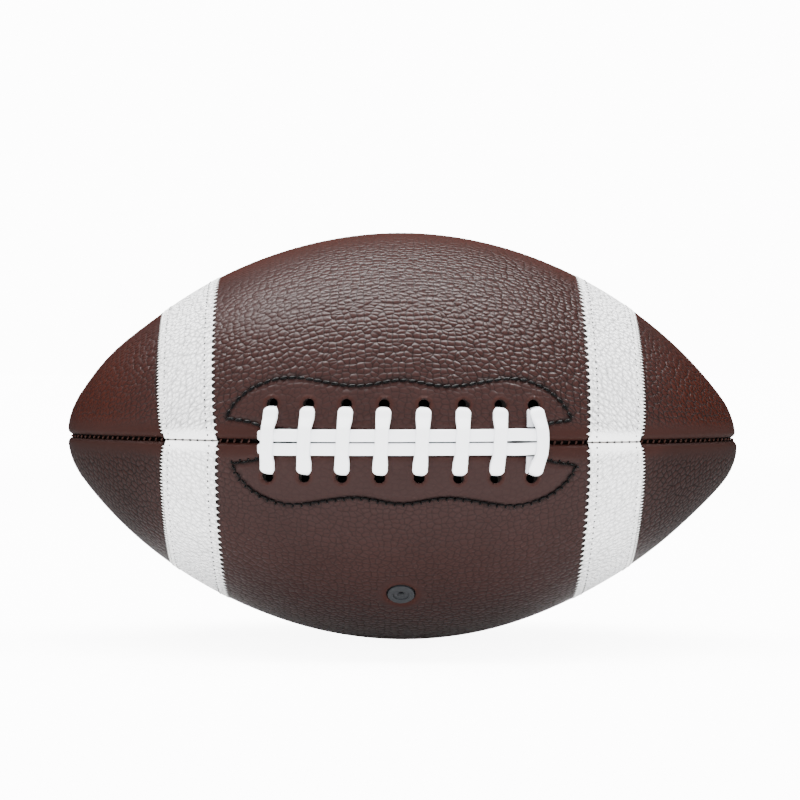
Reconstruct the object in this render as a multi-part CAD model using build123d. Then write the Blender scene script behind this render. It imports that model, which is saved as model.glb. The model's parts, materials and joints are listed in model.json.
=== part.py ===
from build123d import *
import math
import os

# An American football: four lined leather panels sewn over a bladder and laced along one seam.
# X runs from nose to nose, the laced seam faces -Y and Z points up. Lengths are in millimetres.

# Ball outline: a belly arc that runs tangent into a nose arc at each end
ball_length = 281.0
ball_diameter = 170.6
nose_radius = 30.0

# Layers, from the leather inwards
leather_wall = 2.2
layer_gap = 0.1
lining_wall = 0.9
patch_wall = 1.2
tongue_wall = 1.5
bladder_wall = 1.0

# Seams: the panel edges roll inwards and are sewn face to face
seam_gap = 0.2
seam_roll_radius = 3.0
seam_allowance = 7.0
seam_roll_crest = 0.18
seam_roll_start = 15.0
nose_end_turn = 96.0
seam_thread_radius = 0.45
seam_thread_clearance = 0.08
seam_thread_nose_radius = 6.0
seam_thread_lace_end = 61.0

# White bands in the two panels beside the lace
stripe_from_nose = 41.0
stripe_width = 24.0
stripe_thickness = 0.7
stripe_hem_depth = 2.9
upper_stripe_shift = -0.9
lower_stripe_shift = 0.5

# Zigzag stitching along both edges of each band
zigzag_pitch = 2.8
zigzag_inner_reach = 2.8
zigzag_outer_reach = 1.4
zigzag_outside = 1.2
zigzag_thread = 0.5
zigzag_slant_share = 0.3
zigzag_end_margin = 4.5

# Lace slit, holes and patches
lace_zone_half_length = 70.0
lace_hem_depth = 3.4
lace_bar_count = 8
lace_pitch = 14.7
lace_hole_offset = 15.3
lace_hole_radius = 2.8
slit_opening_inside = 2.5
slit_opening_outside = 1.8
slit_opening_half_width = 6.2
patch_half_length = 67.5
patch_height = 24.8
patch_seam_edge = 6.3
patch_margin = 2.0
patch_stitch_pitch = 3.1
patch_stitch_share = 0.8
patch_thread = 0.6
thread_lift = 0.05

# Lace strap
lace_width = 5.4
lace_thickness = 2.4
lace_pinch_width = 4.2
lace_edge_chamfer = 0.7
lace_rest_gap = 0.2
lace_cross_gap = 0.2
lace_lean = 1.6
lace_end_bow = 4.2
lace_tail = 6.0
strand_gap = 0.5
strand_end = 57.0
strand_step = 7.0
strand_return_run = 3.6
lace_step = 2.2
tongue_clearance = 1.1

# Tongue and the bladder's hollow for it
tongue_half_length = 71.0
tongue_half_height = 25.0
tongue_pocket_margin = 1.0

# Valve, on the lower panel beside the lace
valve_turn = 47.0
valve_body_radius = 5.4
valve_hole_radius = 5.6
valve_flange_radius = 11.0
valve_flange_wall = 1.2
valve_sink = 0.5
valve_depth = 9.5
valve_floor = 1.2
valve_plug_radius = 3.2
valve_plug_sink = 0.9
valve_fit_gap = 0.1
needle_radius = 1.0
needle_mouth_radius = 1.6
needle_mouth_depth = 0.8

# Waved sewing line of a lace patch: shares of its half length and of its height
wave_shares = [
    (-1.0, 0.375), (-0.94, 0.63), (-0.82, 0.88), (-0.63, 1.0), (-0.28, 0.875), (0.0, 0.97),
    (0.28, 0.875), (0.63, 1.0), (0.82, 0.88), (0.94, 0.63), (1.0, 0.375),
]

# Half a crossbar from the middle to its hole: shares of the hole offset, and of the height between
# the lace lying on leather (0) and crossing the strands (1)
bar_shares = [(0.0, 1.0), (0.2, 1.0), (0.36, 0.97), (0.55, 0.5), (0.71, 0.15), (0.82, 0.06)]

# The same on the way down the hole: shares of the hole offset, and of the depth of the inside run
hole_shares = [(0.905, -0.15), (0.957, 0.05), (0.982, 0.27), (0.985, 0.54), (0.96, 0.78), (0.88, 1.0)]

# A strand's end: shares of the lace thickness along the ball, and of the depth of the inside run
dive_shares = [(0.45, 0.0), (0.14, 0.11), (0.02, 0.27), (0.0, 0.48), (-0.08, 0.7), (-0.5, 0.96)]

half_length = ball_length / 2
ball_radius = ball_diameter / 2
stripe_outer_edge = half_length - stripe_from_nose
stripe_inner_edge = stripe_outer_edge - stripe_width
nose_center = half_length - nose_radius
belly_radius = (nose_center**2 + ball_radius**2 - nose_radius**2) / (2 * (ball_radius - nose_radius))
belly_center = ball_radius - belly_radius
nose_turn = math.atan2(nose_center, -belly_center)

flange = leather_wall + seam_gap / 2
lining_outer = leather_wall + layer_gap
lining_inner = lining_outer + lining_wall
patch_outer = lining_inner + layer_gap
patch_inner = patch_outer + patch_wall
lace_run_depth = patch_inner + lace_rest_gap + lace_thickness / 2
tongue_outer = lace_run_depth + lace_thickness / 2 + tongue_clearance
tongue_inner = tongue_outer + tongue_wall

lying_height = lace_rest_gap + lace_thickness / 2
crossing_height = lying_height + lace_thickness + lace_cross_gap
strand_offset = (lace_width + strand_gap) / 2
seam_reach = seam_roll_radius + seam_thread_radius + seam_thread_clearance
seam_nest = math.sqrt(seam_reach**2 - (seam_roll_radius + seam_gap / 2) ** 2)
seam_thread_depth = seam_roll_radius - seam_roll_crest - seam_nest
top_align = (Align.CENTER, Align.CENTER, Align.MAX)
bar_places = [(i - (lace_bar_count - 1) / 2) * lace_pitch for i in range(lace_bar_count)]


def outline_point(turn, inset):
    """Place along X and distance from the X axis where the inset outline's normal leans by turn."""
    lean = abs(turn)
    if lean <= nose_turn:
        along = (belly_radius - inset) * math.sin(lean)
        radius = belly_center + (belly_radius - inset) * math.cos(lean)
    else:
        along = nose_center + (nose_radius - inset) * math.sin(lean)
        radius = (nose_radius - inset) * math.cos(lean)
    return math.copysign(along, turn), radius


def radius_at(x, inset=0.0):
    """Distance of the inset outline from the X axis at a place along X."""
    if abs(x) <= (belly_radius - inset) * math.sin(nose_turn):
        return belly_center + math.sqrt((belly_radius - inset) ** 2 - x**2)
    return math.sqrt((nose_radius - inset) ** 2 - (abs(x) - nose_center) ** 2)


def outline_arcs(inset):
    """The inset outline from nose to nose, in the upper half of the XY plane."""
    stops = [-math.pi / 2, -nose_turn, nose_turn, math.pi / 2]
    arcs = []
    for start, end in zip(stops, stops[1:]):
        turns = (start, (start + end) / 2, end)
        arcs.append(ThreePointArc(*[outline_point(turn, inset) for turn in turns]))
    return arcs


def ball_solid(inset):
    """The ball's whole volume, inset from the leather's face."""
    arcs = outline_arcs(inset)
    return revolve(make_face(arcs + [Line(arcs[-1] @ 1, arcs[0] @ 0)]), Axis.X)


def quadrant(side):
    """The front upper quarter of space, set back from both seam planes."""
    corner = (Align.CENTER, Align.MAX, Align.MIN)
    return Pos(0, -side, side) * Box(ball_length, ball_diameter, ball_diameter, align=corner)


def seam_groove(inset):
    """Cutter that rolls the edge of the front upper quarter into its front seam, inset all round."""
    roll = seam_roll_radius - inset
    across = seam_gap / 2 + seam_roll_radius
    level = ball_radius + seam_roll_crest - seam_roll_radius
    arc = []
    for share in (0, 0.5, 1):
        angle = math.radians(seam_roll_start) + share * (math.pi / 2 - math.radians(seam_roll_start))
        arc.append(Vector(0, -level - roll * math.sin(angle), across - roll * math.cos(angle)))
    bottom, top = arc[0].Y, -ball_radius - seam_roll_radius
    corners = [arc[2], (0, top, across), (0, top, -across), (0, bottom, -across), arc[0]]
    face = make_face([ThreePointArc(*arc), Polyline(*corners)])
    belly_axis = Axis((0, -belly_center, 0), (0, 0, 1))
    nose_axis = Axis((nose_center, 0, 0), (0, 0, 1))
    turn = math.degrees(nose_turn)
    belly = revolve(face.rotate(belly_axis, -turn), belly_axis, 2 * turn)
    nose = revolve(face.rotate(belly_axis, turn), nose_axis, nose_end_turn - turn)
    return belly + nose + mirror(nose, Plane.YZ)


def quarter(inset):
    """The front upper quarter of the ball with both edges rolled in, inset all round."""
    blank = ball_solid(inset) & quadrant(seam_gap / 2 + inset)
    groove = seam_groove(inset)
    return blank - groove - mirror(groove, Plane((0, 0, 0), z_dir=(0, 1, 1)))


def along_slab(start, end):
    """All of the ball between two places along X."""
    return Pos((start + end) / 2, 0, 0) * Box(end - start, ball_diameter, ball_diameter)


def ball_plane(x, tilt, height=0.0):
    """Plane on the leather, or above it: X along the ball and Z square to the leather."""
    lean = math.asin(x / belly_radius)
    front, up = -math.cos(tilt), math.sin(tilt)
    out = Vector(math.sin(lean), math.cos(lean) * front, math.cos(lean) * up)
    along = Vector(math.cos(lean), -math.sin(lean) * front, -math.sin(lean) * up)
    radius = radius_at(x)
    return Plane(Vector(x, radius * front, radius * up) + height * out, x_dir=along, z_dir=out)


def tilt_of(x, z):
    """Angle above the front seam of the place on the leather at x and z."""
    return math.asin(z / radius_at(x))


def stripe_edges(side, shift):
    """The two edges of a band, from left to right along X."""
    return sorted((side * stripe_inner_edge + shift, side * stripe_outer_edge + shift))


def lace_holes(up):
    """The punched lace holes above (up 1) or below (up -1) the slit."""
    tools = []
    for place in bar_places:
        x = place + up * lace_lean / 2
        plane = ball_plane(x, tilt_of(x, up * lace_hole_offset))
        tools.append(plane * Cylinder(lace_hole_radius, 2 * tongue_outer))
    return tools


def slit_openings():
    """The two gaps at the slit's ends that the strands go in by."""
    length = slit_opening_inside + slit_opening_outside
    align = (Align.MIN, Align.MAX, Align.CENTER)
    opening = Box(length, ball_diameter, 2 * slit_opening_half_width, align=align)
    right = Pos(strand_end - slit_opening_inside, 0, 0) * opening
    return [right, mirror(right, Plane.YZ)]


def valve_plane():
    """Plane on the leather over the valve, with Z outwards."""
    return ball_plane(0, -math.radians(valve_turn))


def valve_tool(radius, start, end):
    """Round bar on the valve's axis between two depths below the leather."""
    return valve_plane() * Pos(0, 0, -start) * Cylinder(radius, end - start, align=top_align)


def panel(shift=None):
    """A panel in the front upper place, with recesses for bands when a shift is given."""
    shell = quarter(0)
    if shift is not None:
        kept = quarter(stripe_thickness + layer_gap) + ball_solid(stripe_hem_depth + layer_gap)
        for side in (-1, 1):
            start, end = stripe_edges(side, shift)
            shell -= along_slab(start - layer_gap, end + layer_gap) - kept
    shell -= ball_solid(seam_allowance)
    shell -= ball_solid(leather_wall) & quadrant(flange)
    return shell


def lace_room():
    """Space behind the slit, where the seam allowance is trimmed to a hem."""
    align = (Align.CENTER, Align.MAX, Align.CENTER)
    block = Box(2 * lace_zone_half_length, ball_diameter, ball_radius, align=align)
    return block & ball_solid(lace_hem_depth)


def lining():
    """A lining in the front upper place."""
    return (ball_solid(lining_outer) & quadrant(flange + layer_gap)) - ball_solid(lining_inner)


def stripe(side, shift):
    """A band in the front upper panel, turned in over both rolled edges."""
    skin = (quarter(0) & along_slab(*stripe_edges(side, shift))) - quarter(stripe_thickness)
    return skin - ball_solid(stripe_hem_depth)


def patch_line(margin, up):
    """Closed waved outline of a lace patch, seen from the front, on the XZ plane."""
    points = []
    for along, height in wave_shares:
        points.append((along * (patch_half_length + margin), up * height * (patch_height + margin)))
    seam_edge = up * (patch_seam_edge - margin)
    corner = strand_end + margin
    wave = Spline(*points)
    edge = Polyline(points[-1], (corner, seam_edge), (-corner, seam_edge), points[0])
    return (Plane.XZ * wave).edges() + (Plane.XZ * edge).edges()


def lace_patch(up):
    """A reinforcing patch behind the upper or lower row of lace holes."""
    outline = make_face(patch_line(patch_margin, up))
    prism = extrude(outline, amount=ball_radius, dir=(0, -1, 0))
    return (prism & ball_solid(patch_outer)) - ball_solid(patch_inner)


def slot_prism(margin):
    """Long rounded block from the middle of the ball out through its front, wide as the tongue."""
    slot = SlotOverall(2 * (tongue_half_length + margin), 2 * (tongue_half_height + margin))
    return extrude(Plane.XZ * slot, amount=ball_radius, dir=(0, -1, 0))


def bladder_form(inset):
    """The space inside panels, linings and seams, with the tongue's hollow, inset all round."""
    side = 2 * (flange + layer_gap + inset)
    plates = Box(ball_length, ball_diameter, side) + Box(ball_length, side, ball_diameter)
    ridges = plates - ball_solid(seam_allowance + layer_gap + inset)
    form = ball_solid(lining_inner + layer_gap + inset) - ridges
    pocket_floor = ball_solid(tongue_inner + layer_gap + inset)
    return form - (slot_prism(tongue_pocket_margin + inset) - pocket_floor)


def seam_thread(start, end):
    """A thread in the groove of the rear seam, between two leans of the outline's normal."""
    stops = [start] + [turn for turn in (-nose_turn, nose_turn) if start < turn < end] + [end]
    arcs = []
    for first, last in zip(stops, stops[1:]):
        turns = (first, (first + last) / 2, last)
        arcs.append(ThreePointArc(*[outline_point(turn, seam_thread_depth) for turn in turns]))
    path = Wire(arcs)
    return sweep(Plane(path @ 0, z_dir=path % 0) * Circle(seam_thread_radius), path=path)


def stitch(start, end, thread):
    """A flat stitch on the leather between two places, each an x and a tilt."""
    planes = [ball_plane(x, tilt, thread / 2 + thread_lift) for x, tilt in (start, end)]
    along = planes[1].origin - planes[0].origin
    out = planes[0].z_dir + planes[1].z_dir
    side = out.cross(along)
    middle = (planes[0].origin + planes[1].origin) / 2
    return Plane(middle, x_dir=along, z_dir=along.cross(side)) * Box(along.length, thread, thread)


def patch_thread_stitches(up):
    """The row of stitches along a patch's waved line."""
    line = Wire(patch_line(0, up))
    count = round(line.length / patch_stitch_pitch)
    stitches = []
    for index in range(count):
        ends = []
        for share in (index / count, (index + patch_stitch_share) / count):
            point = line @ share
            ends.append((point.X, tilt_of(point.X, point.Z)))
        stitches.append(stitch(*ends, patch_thread))
    return Compound(children=stitches)


def zigzag_stitches(edge, reach, up):
    """The slanted stitches along one edge of a band that lies reach away, from seam to seam."""
    margin = zigzag_end_margin / radius_at(edge)
    span = math.pi / 2 - 2 * margin
    count = int(span * radius_at(edge) / zigzag_pitch)
    stitches = []
    for index in range(count):
        tilt = up * (margin + span * index / count)
        lean = up * span * zigzag_slant_share / count
        inside = (edge + reach, tilt)
        outside = (edge - math.copysign(zigzag_outside, reach), tilt + lean)
        stitches.append(stitch(inside, outside, zigzag_thread))
    return Compound(children=stitches)


def smoothed(knots, step):
    """Points no further apart than step on a smooth curve through knots of several numbers each."""
    points = []
    for index in range(len(knots) - 1):
        before, start = knots[max(index - 1, 0)], knots[index]
        end, after = knots[index + 1], knots[min(index + 2, len(knots) - 1)]
        count = math.ceil(math.dist(start[:3], end[:3]) / step)
        for part in range(count):
            t = part / count
            point = []
            for a, b, c, d in zip(before, start, end, after):
                bend = 2 * a - 5 * b + 4 * c - d + (3 * b - a - 3 * c + d) * t
                point.append(b + t / 2 * (c - a + t * bend))
            points.append(point)
    return points + [list(knots[-1])]


def strap(knots, step):
    """A flat lace through knots of x, z on the leather, height above it, width and turn.

    Turn is the angle of the lace's width: 0 lies across the ball and a quarter turn along it.
    """
    centers, across, widths = [], [], []
    for x, z, height, width, turn in smoothed(knots, step):
        plane = ball_plane(x, tilt_of(x, z), height)
        centers.append(plane.origin)
        across.append(plane.y_dir * math.cos(turn) + plane.x_dir * math.sin(turn))
        widths.append(width)
    sections, corners = [], []
    for index, center in enumerate(centers):
        tangent = centers[min(index + 1, len(centers) - 1)] - centers[max(index - 1, 0)]
        plane = Plane(center, x_dir=across[index], z_dir=tangent)
        half, thick = widths[index] / 2, lace_thickness / 2
        cut = lace_edge_chamfer
        outline = [(half, thick - cut), (half - cut, thick), (cut - half, thick), (-half, thick - cut)]
        outline += [(-u, -v) for u, v in outline]
        sections.append(plane * make_face(Polyline(*outline, close=True)))
        corners.append([plane.from_local_coords((u, v, 0)) for u, v in outline])
    return loft(sections, ruled=True), corners


def least_gap(corners, away):
    """Least distance between corners of sections that lie at least a number of sections apart."""
    gap = ball_length
    for index, near in enumerate(corners):
        for far in corners[index + away :]:
            if (near[0] - far[0]).length < gap + 2 * lace_width:
                gap = min(gap, min((a - b).length for a in near for b in far))
    return gap


def crossbar_knots():
    """The lace that crosses the strands: over each bar and back inside to the next upper hole."""
    hole = lace_hole_offset
    over = []
    for share, lift in bar_shares:
        over.append((share * hole, lying_height + lift * (crossing_height - lying_height), lace_width))
    for share, depth in hole_shares:
        over.append((share * hole, -depth * lace_run_depth, lace_pinch_width))
    flat = math.pi / 2
    knots = []
    first = bar_places[0] + lace_lean / 2
    knots.append((first, hole + lace_tail, -lace_run_depth, lace_width, flat))
    for index, place in enumerate(bar_places):
        bow = lace_end_bow if index == lace_bar_count - 1 else 0
        track = [(z, height, width) for z, height, width in reversed(over)]
        track += [(-z, height, width) for z, height, width in over[1:]]
        if index == 0:
            track[0] = (2 * hole - track[0][0], track[0][1], track[0][2])
        if index == lace_bar_count - 1:
            track[-1] = (-2 * hole - track[-1][0], track[-1][1], track[-1][2])
        for z, height, width in track:
            x = place + lace_lean * z / (2 * hole) + bow * max(0, 1 - (z / hole) ** 2) ** 2
            knots.append((x, z, height, width, flat))
    last = bar_places[-1] - lace_lean / 2
    knots.append((last, -hole - lace_tail, -lace_run_depth, lace_width, flat))
    return knots


def strand_knots():
    """The long lace: two tails at the right, two strands over the slit and a fold at the left."""
    drop = lying_height + lace_run_depth
    end = []
    for along, depth in dive_shares:
        end.append((strand_end - along * 2 * lace_thickness, lying_height - depth * drop))
    tail = [(strand_end + run * strand_return_run, -lace_run_depth) for run in (1, 2)]
    runs = round(strand_end / strand_step)
    middle = [(strand_end * index / runs, lying_height) for index in range(1 - runs, runs)]
    right = list(reversed(end + tail))
    left = [(-x, height) for x, height in end + tail[:1]]
    knots = []
    for x, height in right + list(reversed(middle)) + left:
        width = lace_width if height > 0 else lace_pinch_width
        knots.append((x, strand_offset, height, width, 0))
    turned = -strand_end - strand_return_run
    for step in (1, 2, 3):
        turn = step * math.pi / 4
        x = turned - strand_offset * math.sin(turn)
        knots.append((x, strand_offset * math.cos(turn), -lace_run_depth, lace_pinch_width, turn))
    for x, z, height, width, turn in reversed(knots[: -3]):
        knots.append((x, -z, height, width, math.pi))
    return knots


def valve_body():
    """The rubber body on the bladder, with a flange inside it and a bore for the plug."""
    wall = lining_inner + layer_gap + bladder_wall + layer_gap
    body = valve_tool(valve_body_radius, valve_sink, valve_depth)
    flange_bar = valve_tool(valve_flange_radius, 0, valve_depth)
    body += (flange_bar & ball_solid(wall)) - ball_solid(wall + valve_flange_wall)
    body -= valve_tool(valve_plug_radius + valve_fit_gap, 0, valve_depth - valve_floor)
    return body - valve_tool(needle_mouth_radius, 0, 2 * valve_depth)


def valve_plug():
    """The plug that seals on the needle, with a small funnel at its mouth."""
    end = valve_depth - valve_floor - valve_fit_gap
    plug = valve_tool(valve_plug_radius, valve_plug_sink, end)
    plug -= valve_tool(needle_radius, 0, 2 * valve_depth)
    cone = Cone(needle_radius, needle_mouth_radius, needle_mouth_depth, align=top_align)
    return plug - valve_plane() * Pos(0, 0, -valve_plug_sink) * cone


def save(name, shape):
    """Write one node's solids."""
    export_step(shape, f"parts/{name}.step")


os.makedirs("parts", exist_ok=True)

lower = Rot(X=90)
holes = {1: lace_holes(1), -1: lace_holes(-1)}
openings = slit_openings()
valve_cut = valve_tool(valve_hole_radius, -valve_depth, 2 * valve_depth)

room = lace_room()
upper_panel = panel(upper_stripe_shift) - room
lower_panel = lower * panel(lower_stripe_shift) - room
save("panel_front_upper", upper_panel - holes[1] - openings)
save("panel_front_lower", lower_panel - holes[-1] - openings - valve_cut)
rear_panel = Rot(X=-90) * panel()
save("panel_rear_upper", rear_panel)
save("panel_rear_lower", Rot(X=-90) * rear_panel)

quarter_lining = lining()
save("lining_front_upper", quarter_lining - holes[1] - openings)
save("lining_front_lower", lower * quarter_lining - holes[-1] - openings - valve_cut)
save("lining_rear_upper", Rot(X=-90) * quarter_lining)
save("lining_rear_lower", Rot(X=180) * quarter_lining)

save("lace_patch_upper", lace_patch(1) - holes[1] - openings)
save("lace_patch_lower", lace_patch(-1) - holes[-1] - openings)
save("lace_tongue", (slot_prism(0) & ball_solid(tongue_outer)) - ball_solid(tongue_inner))
save("bladder", bladder_form(0) - bladder_form(bladder_wall) - valve_cut)
save("valve_body", valve_body())
save("valve_plug", valve_plug())

for side, side_name in ((-1, "left"), (1, "right")):
    save(f"stripe_{side_name}_upper", stripe(side, upper_stripe_shift))
    save(f"stripe_{side_name}_lower", lower * stripe(side, lower_stripe_shift))
    for up, up_name, shift in ((1, "upper", upper_stripe_shift), (-1, "lower", lower_stripe_shift)):
        start, end = side * stripe_inner_edge + shift, side * stripe_outer_edge + shift
        name = f"stripe_thread_{side_name}_{up_name}"
        save(f"{name}_inner", zigzag_stitches(start, side * zigzag_inner_reach, up))
        save(f"{name}_outer", zigzag_stitches(end, -side * zigzag_outer_reach, up))

full = math.acos(seam_thread_nose_radius / (nose_radius - seam_thread_depth))
lace_end = math.asin(seam_thread_lace_end / (belly_radius - seam_thread_depth))
whole_thread = seam_thread(-full, full)
save("seam_thread_rear", whole_thread)
save("seam_thread_top", Rot(X=90) * whole_thread)
save("seam_thread_bottom", Rot(X=-90) * whole_thread)
save("seam_thread_front_right", Rot(X=180) * seam_thread(lace_end, full))
save("seam_thread_front_left", Rot(X=180) * seam_thread(-full, -lace_end))

save("patch_thread_upper", patch_thread_stitches(1))
save("patch_thread_lower", patch_thread_stitches(-1))

crossbars, bar_corners = strap(crossbar_knots(), lace_step)
save("lace_crossbars", crossbars)
strands, strand_corners = strap(strand_knots(), strand_step)
save("lace_strands", strands)
apart = round(4 * lace_width / lace_step)
print("least gap of the crossing lace to itself:", round(least_gap(bar_corners, apart), 2))
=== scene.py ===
"""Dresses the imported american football: leather, sewn bands, threads, lace, valve, light and camera."""
from __future__ import annotations

import json
import logging
import math
from dataclasses import dataclass
from enum import Enum
from typing import Sequence, Union

import bmesh
import bpy
import numpy as np
from mathutils import Matrix, Vector

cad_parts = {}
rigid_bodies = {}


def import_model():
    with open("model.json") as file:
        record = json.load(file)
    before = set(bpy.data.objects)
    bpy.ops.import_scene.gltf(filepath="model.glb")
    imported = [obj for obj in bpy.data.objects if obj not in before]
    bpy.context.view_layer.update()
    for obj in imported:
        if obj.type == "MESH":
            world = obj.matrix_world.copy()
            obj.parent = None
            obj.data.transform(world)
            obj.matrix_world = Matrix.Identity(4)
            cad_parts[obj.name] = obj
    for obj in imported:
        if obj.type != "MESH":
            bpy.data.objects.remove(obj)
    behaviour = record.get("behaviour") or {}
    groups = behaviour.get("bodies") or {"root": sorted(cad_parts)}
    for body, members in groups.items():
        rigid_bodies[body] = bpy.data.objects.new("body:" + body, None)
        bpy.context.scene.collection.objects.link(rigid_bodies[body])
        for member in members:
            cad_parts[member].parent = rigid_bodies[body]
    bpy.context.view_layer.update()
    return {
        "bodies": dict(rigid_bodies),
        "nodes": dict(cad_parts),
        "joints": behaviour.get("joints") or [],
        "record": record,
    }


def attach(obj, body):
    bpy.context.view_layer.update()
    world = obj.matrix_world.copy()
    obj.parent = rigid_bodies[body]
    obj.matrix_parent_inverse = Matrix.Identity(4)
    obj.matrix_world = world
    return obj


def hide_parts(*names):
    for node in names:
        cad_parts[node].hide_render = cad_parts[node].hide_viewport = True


log = logging.getLogger("football")
MM = 0.001
QUARTER = math.pi / 2
TINY = 1e-4
LEAST_LEG = 1e-9
ROLL_FADE = 5
GRAIN_STRETCH = 0.76
Array = np.ndarray
Piece = bpy.types.Object
Socket = bpy.types.NodeSocket
Triple = tuple[float, float, float]
Colour = Triple
Span = tuple[float, float]
Value = Union[Socket, float, tuple]


class Side(Enum):
    """The panels of the ball, each with the turn in degrees at which it starts, measured up from the lace."""

    FRONT_UPPER = 0
    REAR_UPPER = 90
    REAR_LOWER = 180
    FRONT_LOWER = 270

    @property
    def label(self) -> str:
        """Returns: the panel's name as the frame's nodes spell it."""
        return self.name.lower()

    @property
    def start(self) -> float:
        """Returns: the turn in radians at which the panel starts."""
        return math.radians(self.value)

    @property
    def number(self) -> float:
        """Returns: the panel's number, counted up from the lace."""
        return self.value / 90

    @property
    def faces_front(self) -> bool:
        """Returns: True for the two panels beside the lace."""
        return self in (Side.FRONT_UPPER, Side.FRONT_LOWER)

    @property
    def sign(self) -> int:
        """Returns: 1 for a panel above the laced seam, -1 for one below it."""
        return 1 if self in (Side.FRONT_UPPER, Side.REAR_UPPER) else -1

    @property
    def row(self) -> str:
        """Returns: upper or lower."""
        return "upper" if self.sign > 0 else "lower"


class Edge(Enum):
    """The two long edges of a white band."""

    INNER = "inner"
    OUTER = "outer"


@dataclass(frozen=True)
class BallSizes:
    """Outline of the ball in millimetres."""

    half_length: float = 140.5
    radius: float = 85.3
    nose_radius: float = 30.0


@dataclass(frozen=True)
class Swell:
    """A place where the sewn ball swells out of its turned outline, or falls inside it."""

    along: float
    reach: float
    turn: float
    height: float


def smooth_step(low: float, high: float, value: Array) -> Array:
    """Returns: values eased from 0 at low and before it to 1 at high and beyond it."""
    share = np.clip((value - low) / (high - low), 0.0, 1.0)
    return share * share * (3.0 - 2.0 * share)


def bell(value: Array | float, middle: float, reach: float) -> Array:
    """Returns: values that rise to 1 at the middle and fade within a reach of it."""
    return np.exp(-(((value - middle) / reach) ** 2))


def rolled_edges(first: Array, second: Array, roll: float, gap: float, crest: float) -> Array:
    """Finds how far two rolled edges fall below the surface.

    Args:
        first: distances from one seam plane.
        second: distances from the other seam plane.
        roll: radius of the rolled edge.
        gap: space from the seam plane to the roll.
        crest: how far the roll stands above the surface.

    Returns:
        heights at or below the crest.
    """
    heights = []
    for distance in (first, second):
        inside = np.clip(roll + gap - distance, 0.0, roll)
        height = crest - roll + np.sqrt(roll**2 - inside**2)
        heights.append(height * (1 - smooth_step(roll + gap, ROLL_FADE * roll, distance)))
    return np.minimum(*heights)


def spline(knots: Array, step: float) -> Array:
    """Runs a smooth curve through knots.

    Args:
        knots: rows of values, the first columns of which are places.
        step: rough distance between points of the result.

    Returns:
        rows of the same values along the curve.
    """
    padded = np.vstack([2 * knots[0] - knots[1], knots, 2 * knots[-1] - knots[-2]])
    rows = []
    for first, start, stop, last in zip(padded, padded[1:], padded[2:], padded[3:]):
        count = max(2, int(np.linalg.norm((stop - start)[:3]) / step))
        share = np.linspace(0, 1, count, endpoint=False)[:, None]
        pull = 2 * first - 5 * start + 4 * stop - last
        bend = 3 * start - first - 3 * stop + last
        rows.append(0.5 * (2 * start + (stop - first) * share + pull * share**2 + bend * share**3))
    return np.vstack(rows + [knots[-1:]])


def distance_to_route(points: Array, route: Array) -> Array:
    """Measures how far points lie from a polyline.

    Args:
        points: rows of two coordinates.
        route: corners of the polyline.

    Returns:
        least distance of each point.
    """
    least = np.full(len(points), np.inf)
    for start, stop in zip(route, route[1:]):
        leg = stop - start
        share = np.clip((points - start) @ leg / max(leg @ leg, LEAST_LEG), 0, 1)
        least = np.minimum(least, np.linalg.norm(points - start - share[:, None] * leg, axis=1))
    return least


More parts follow.
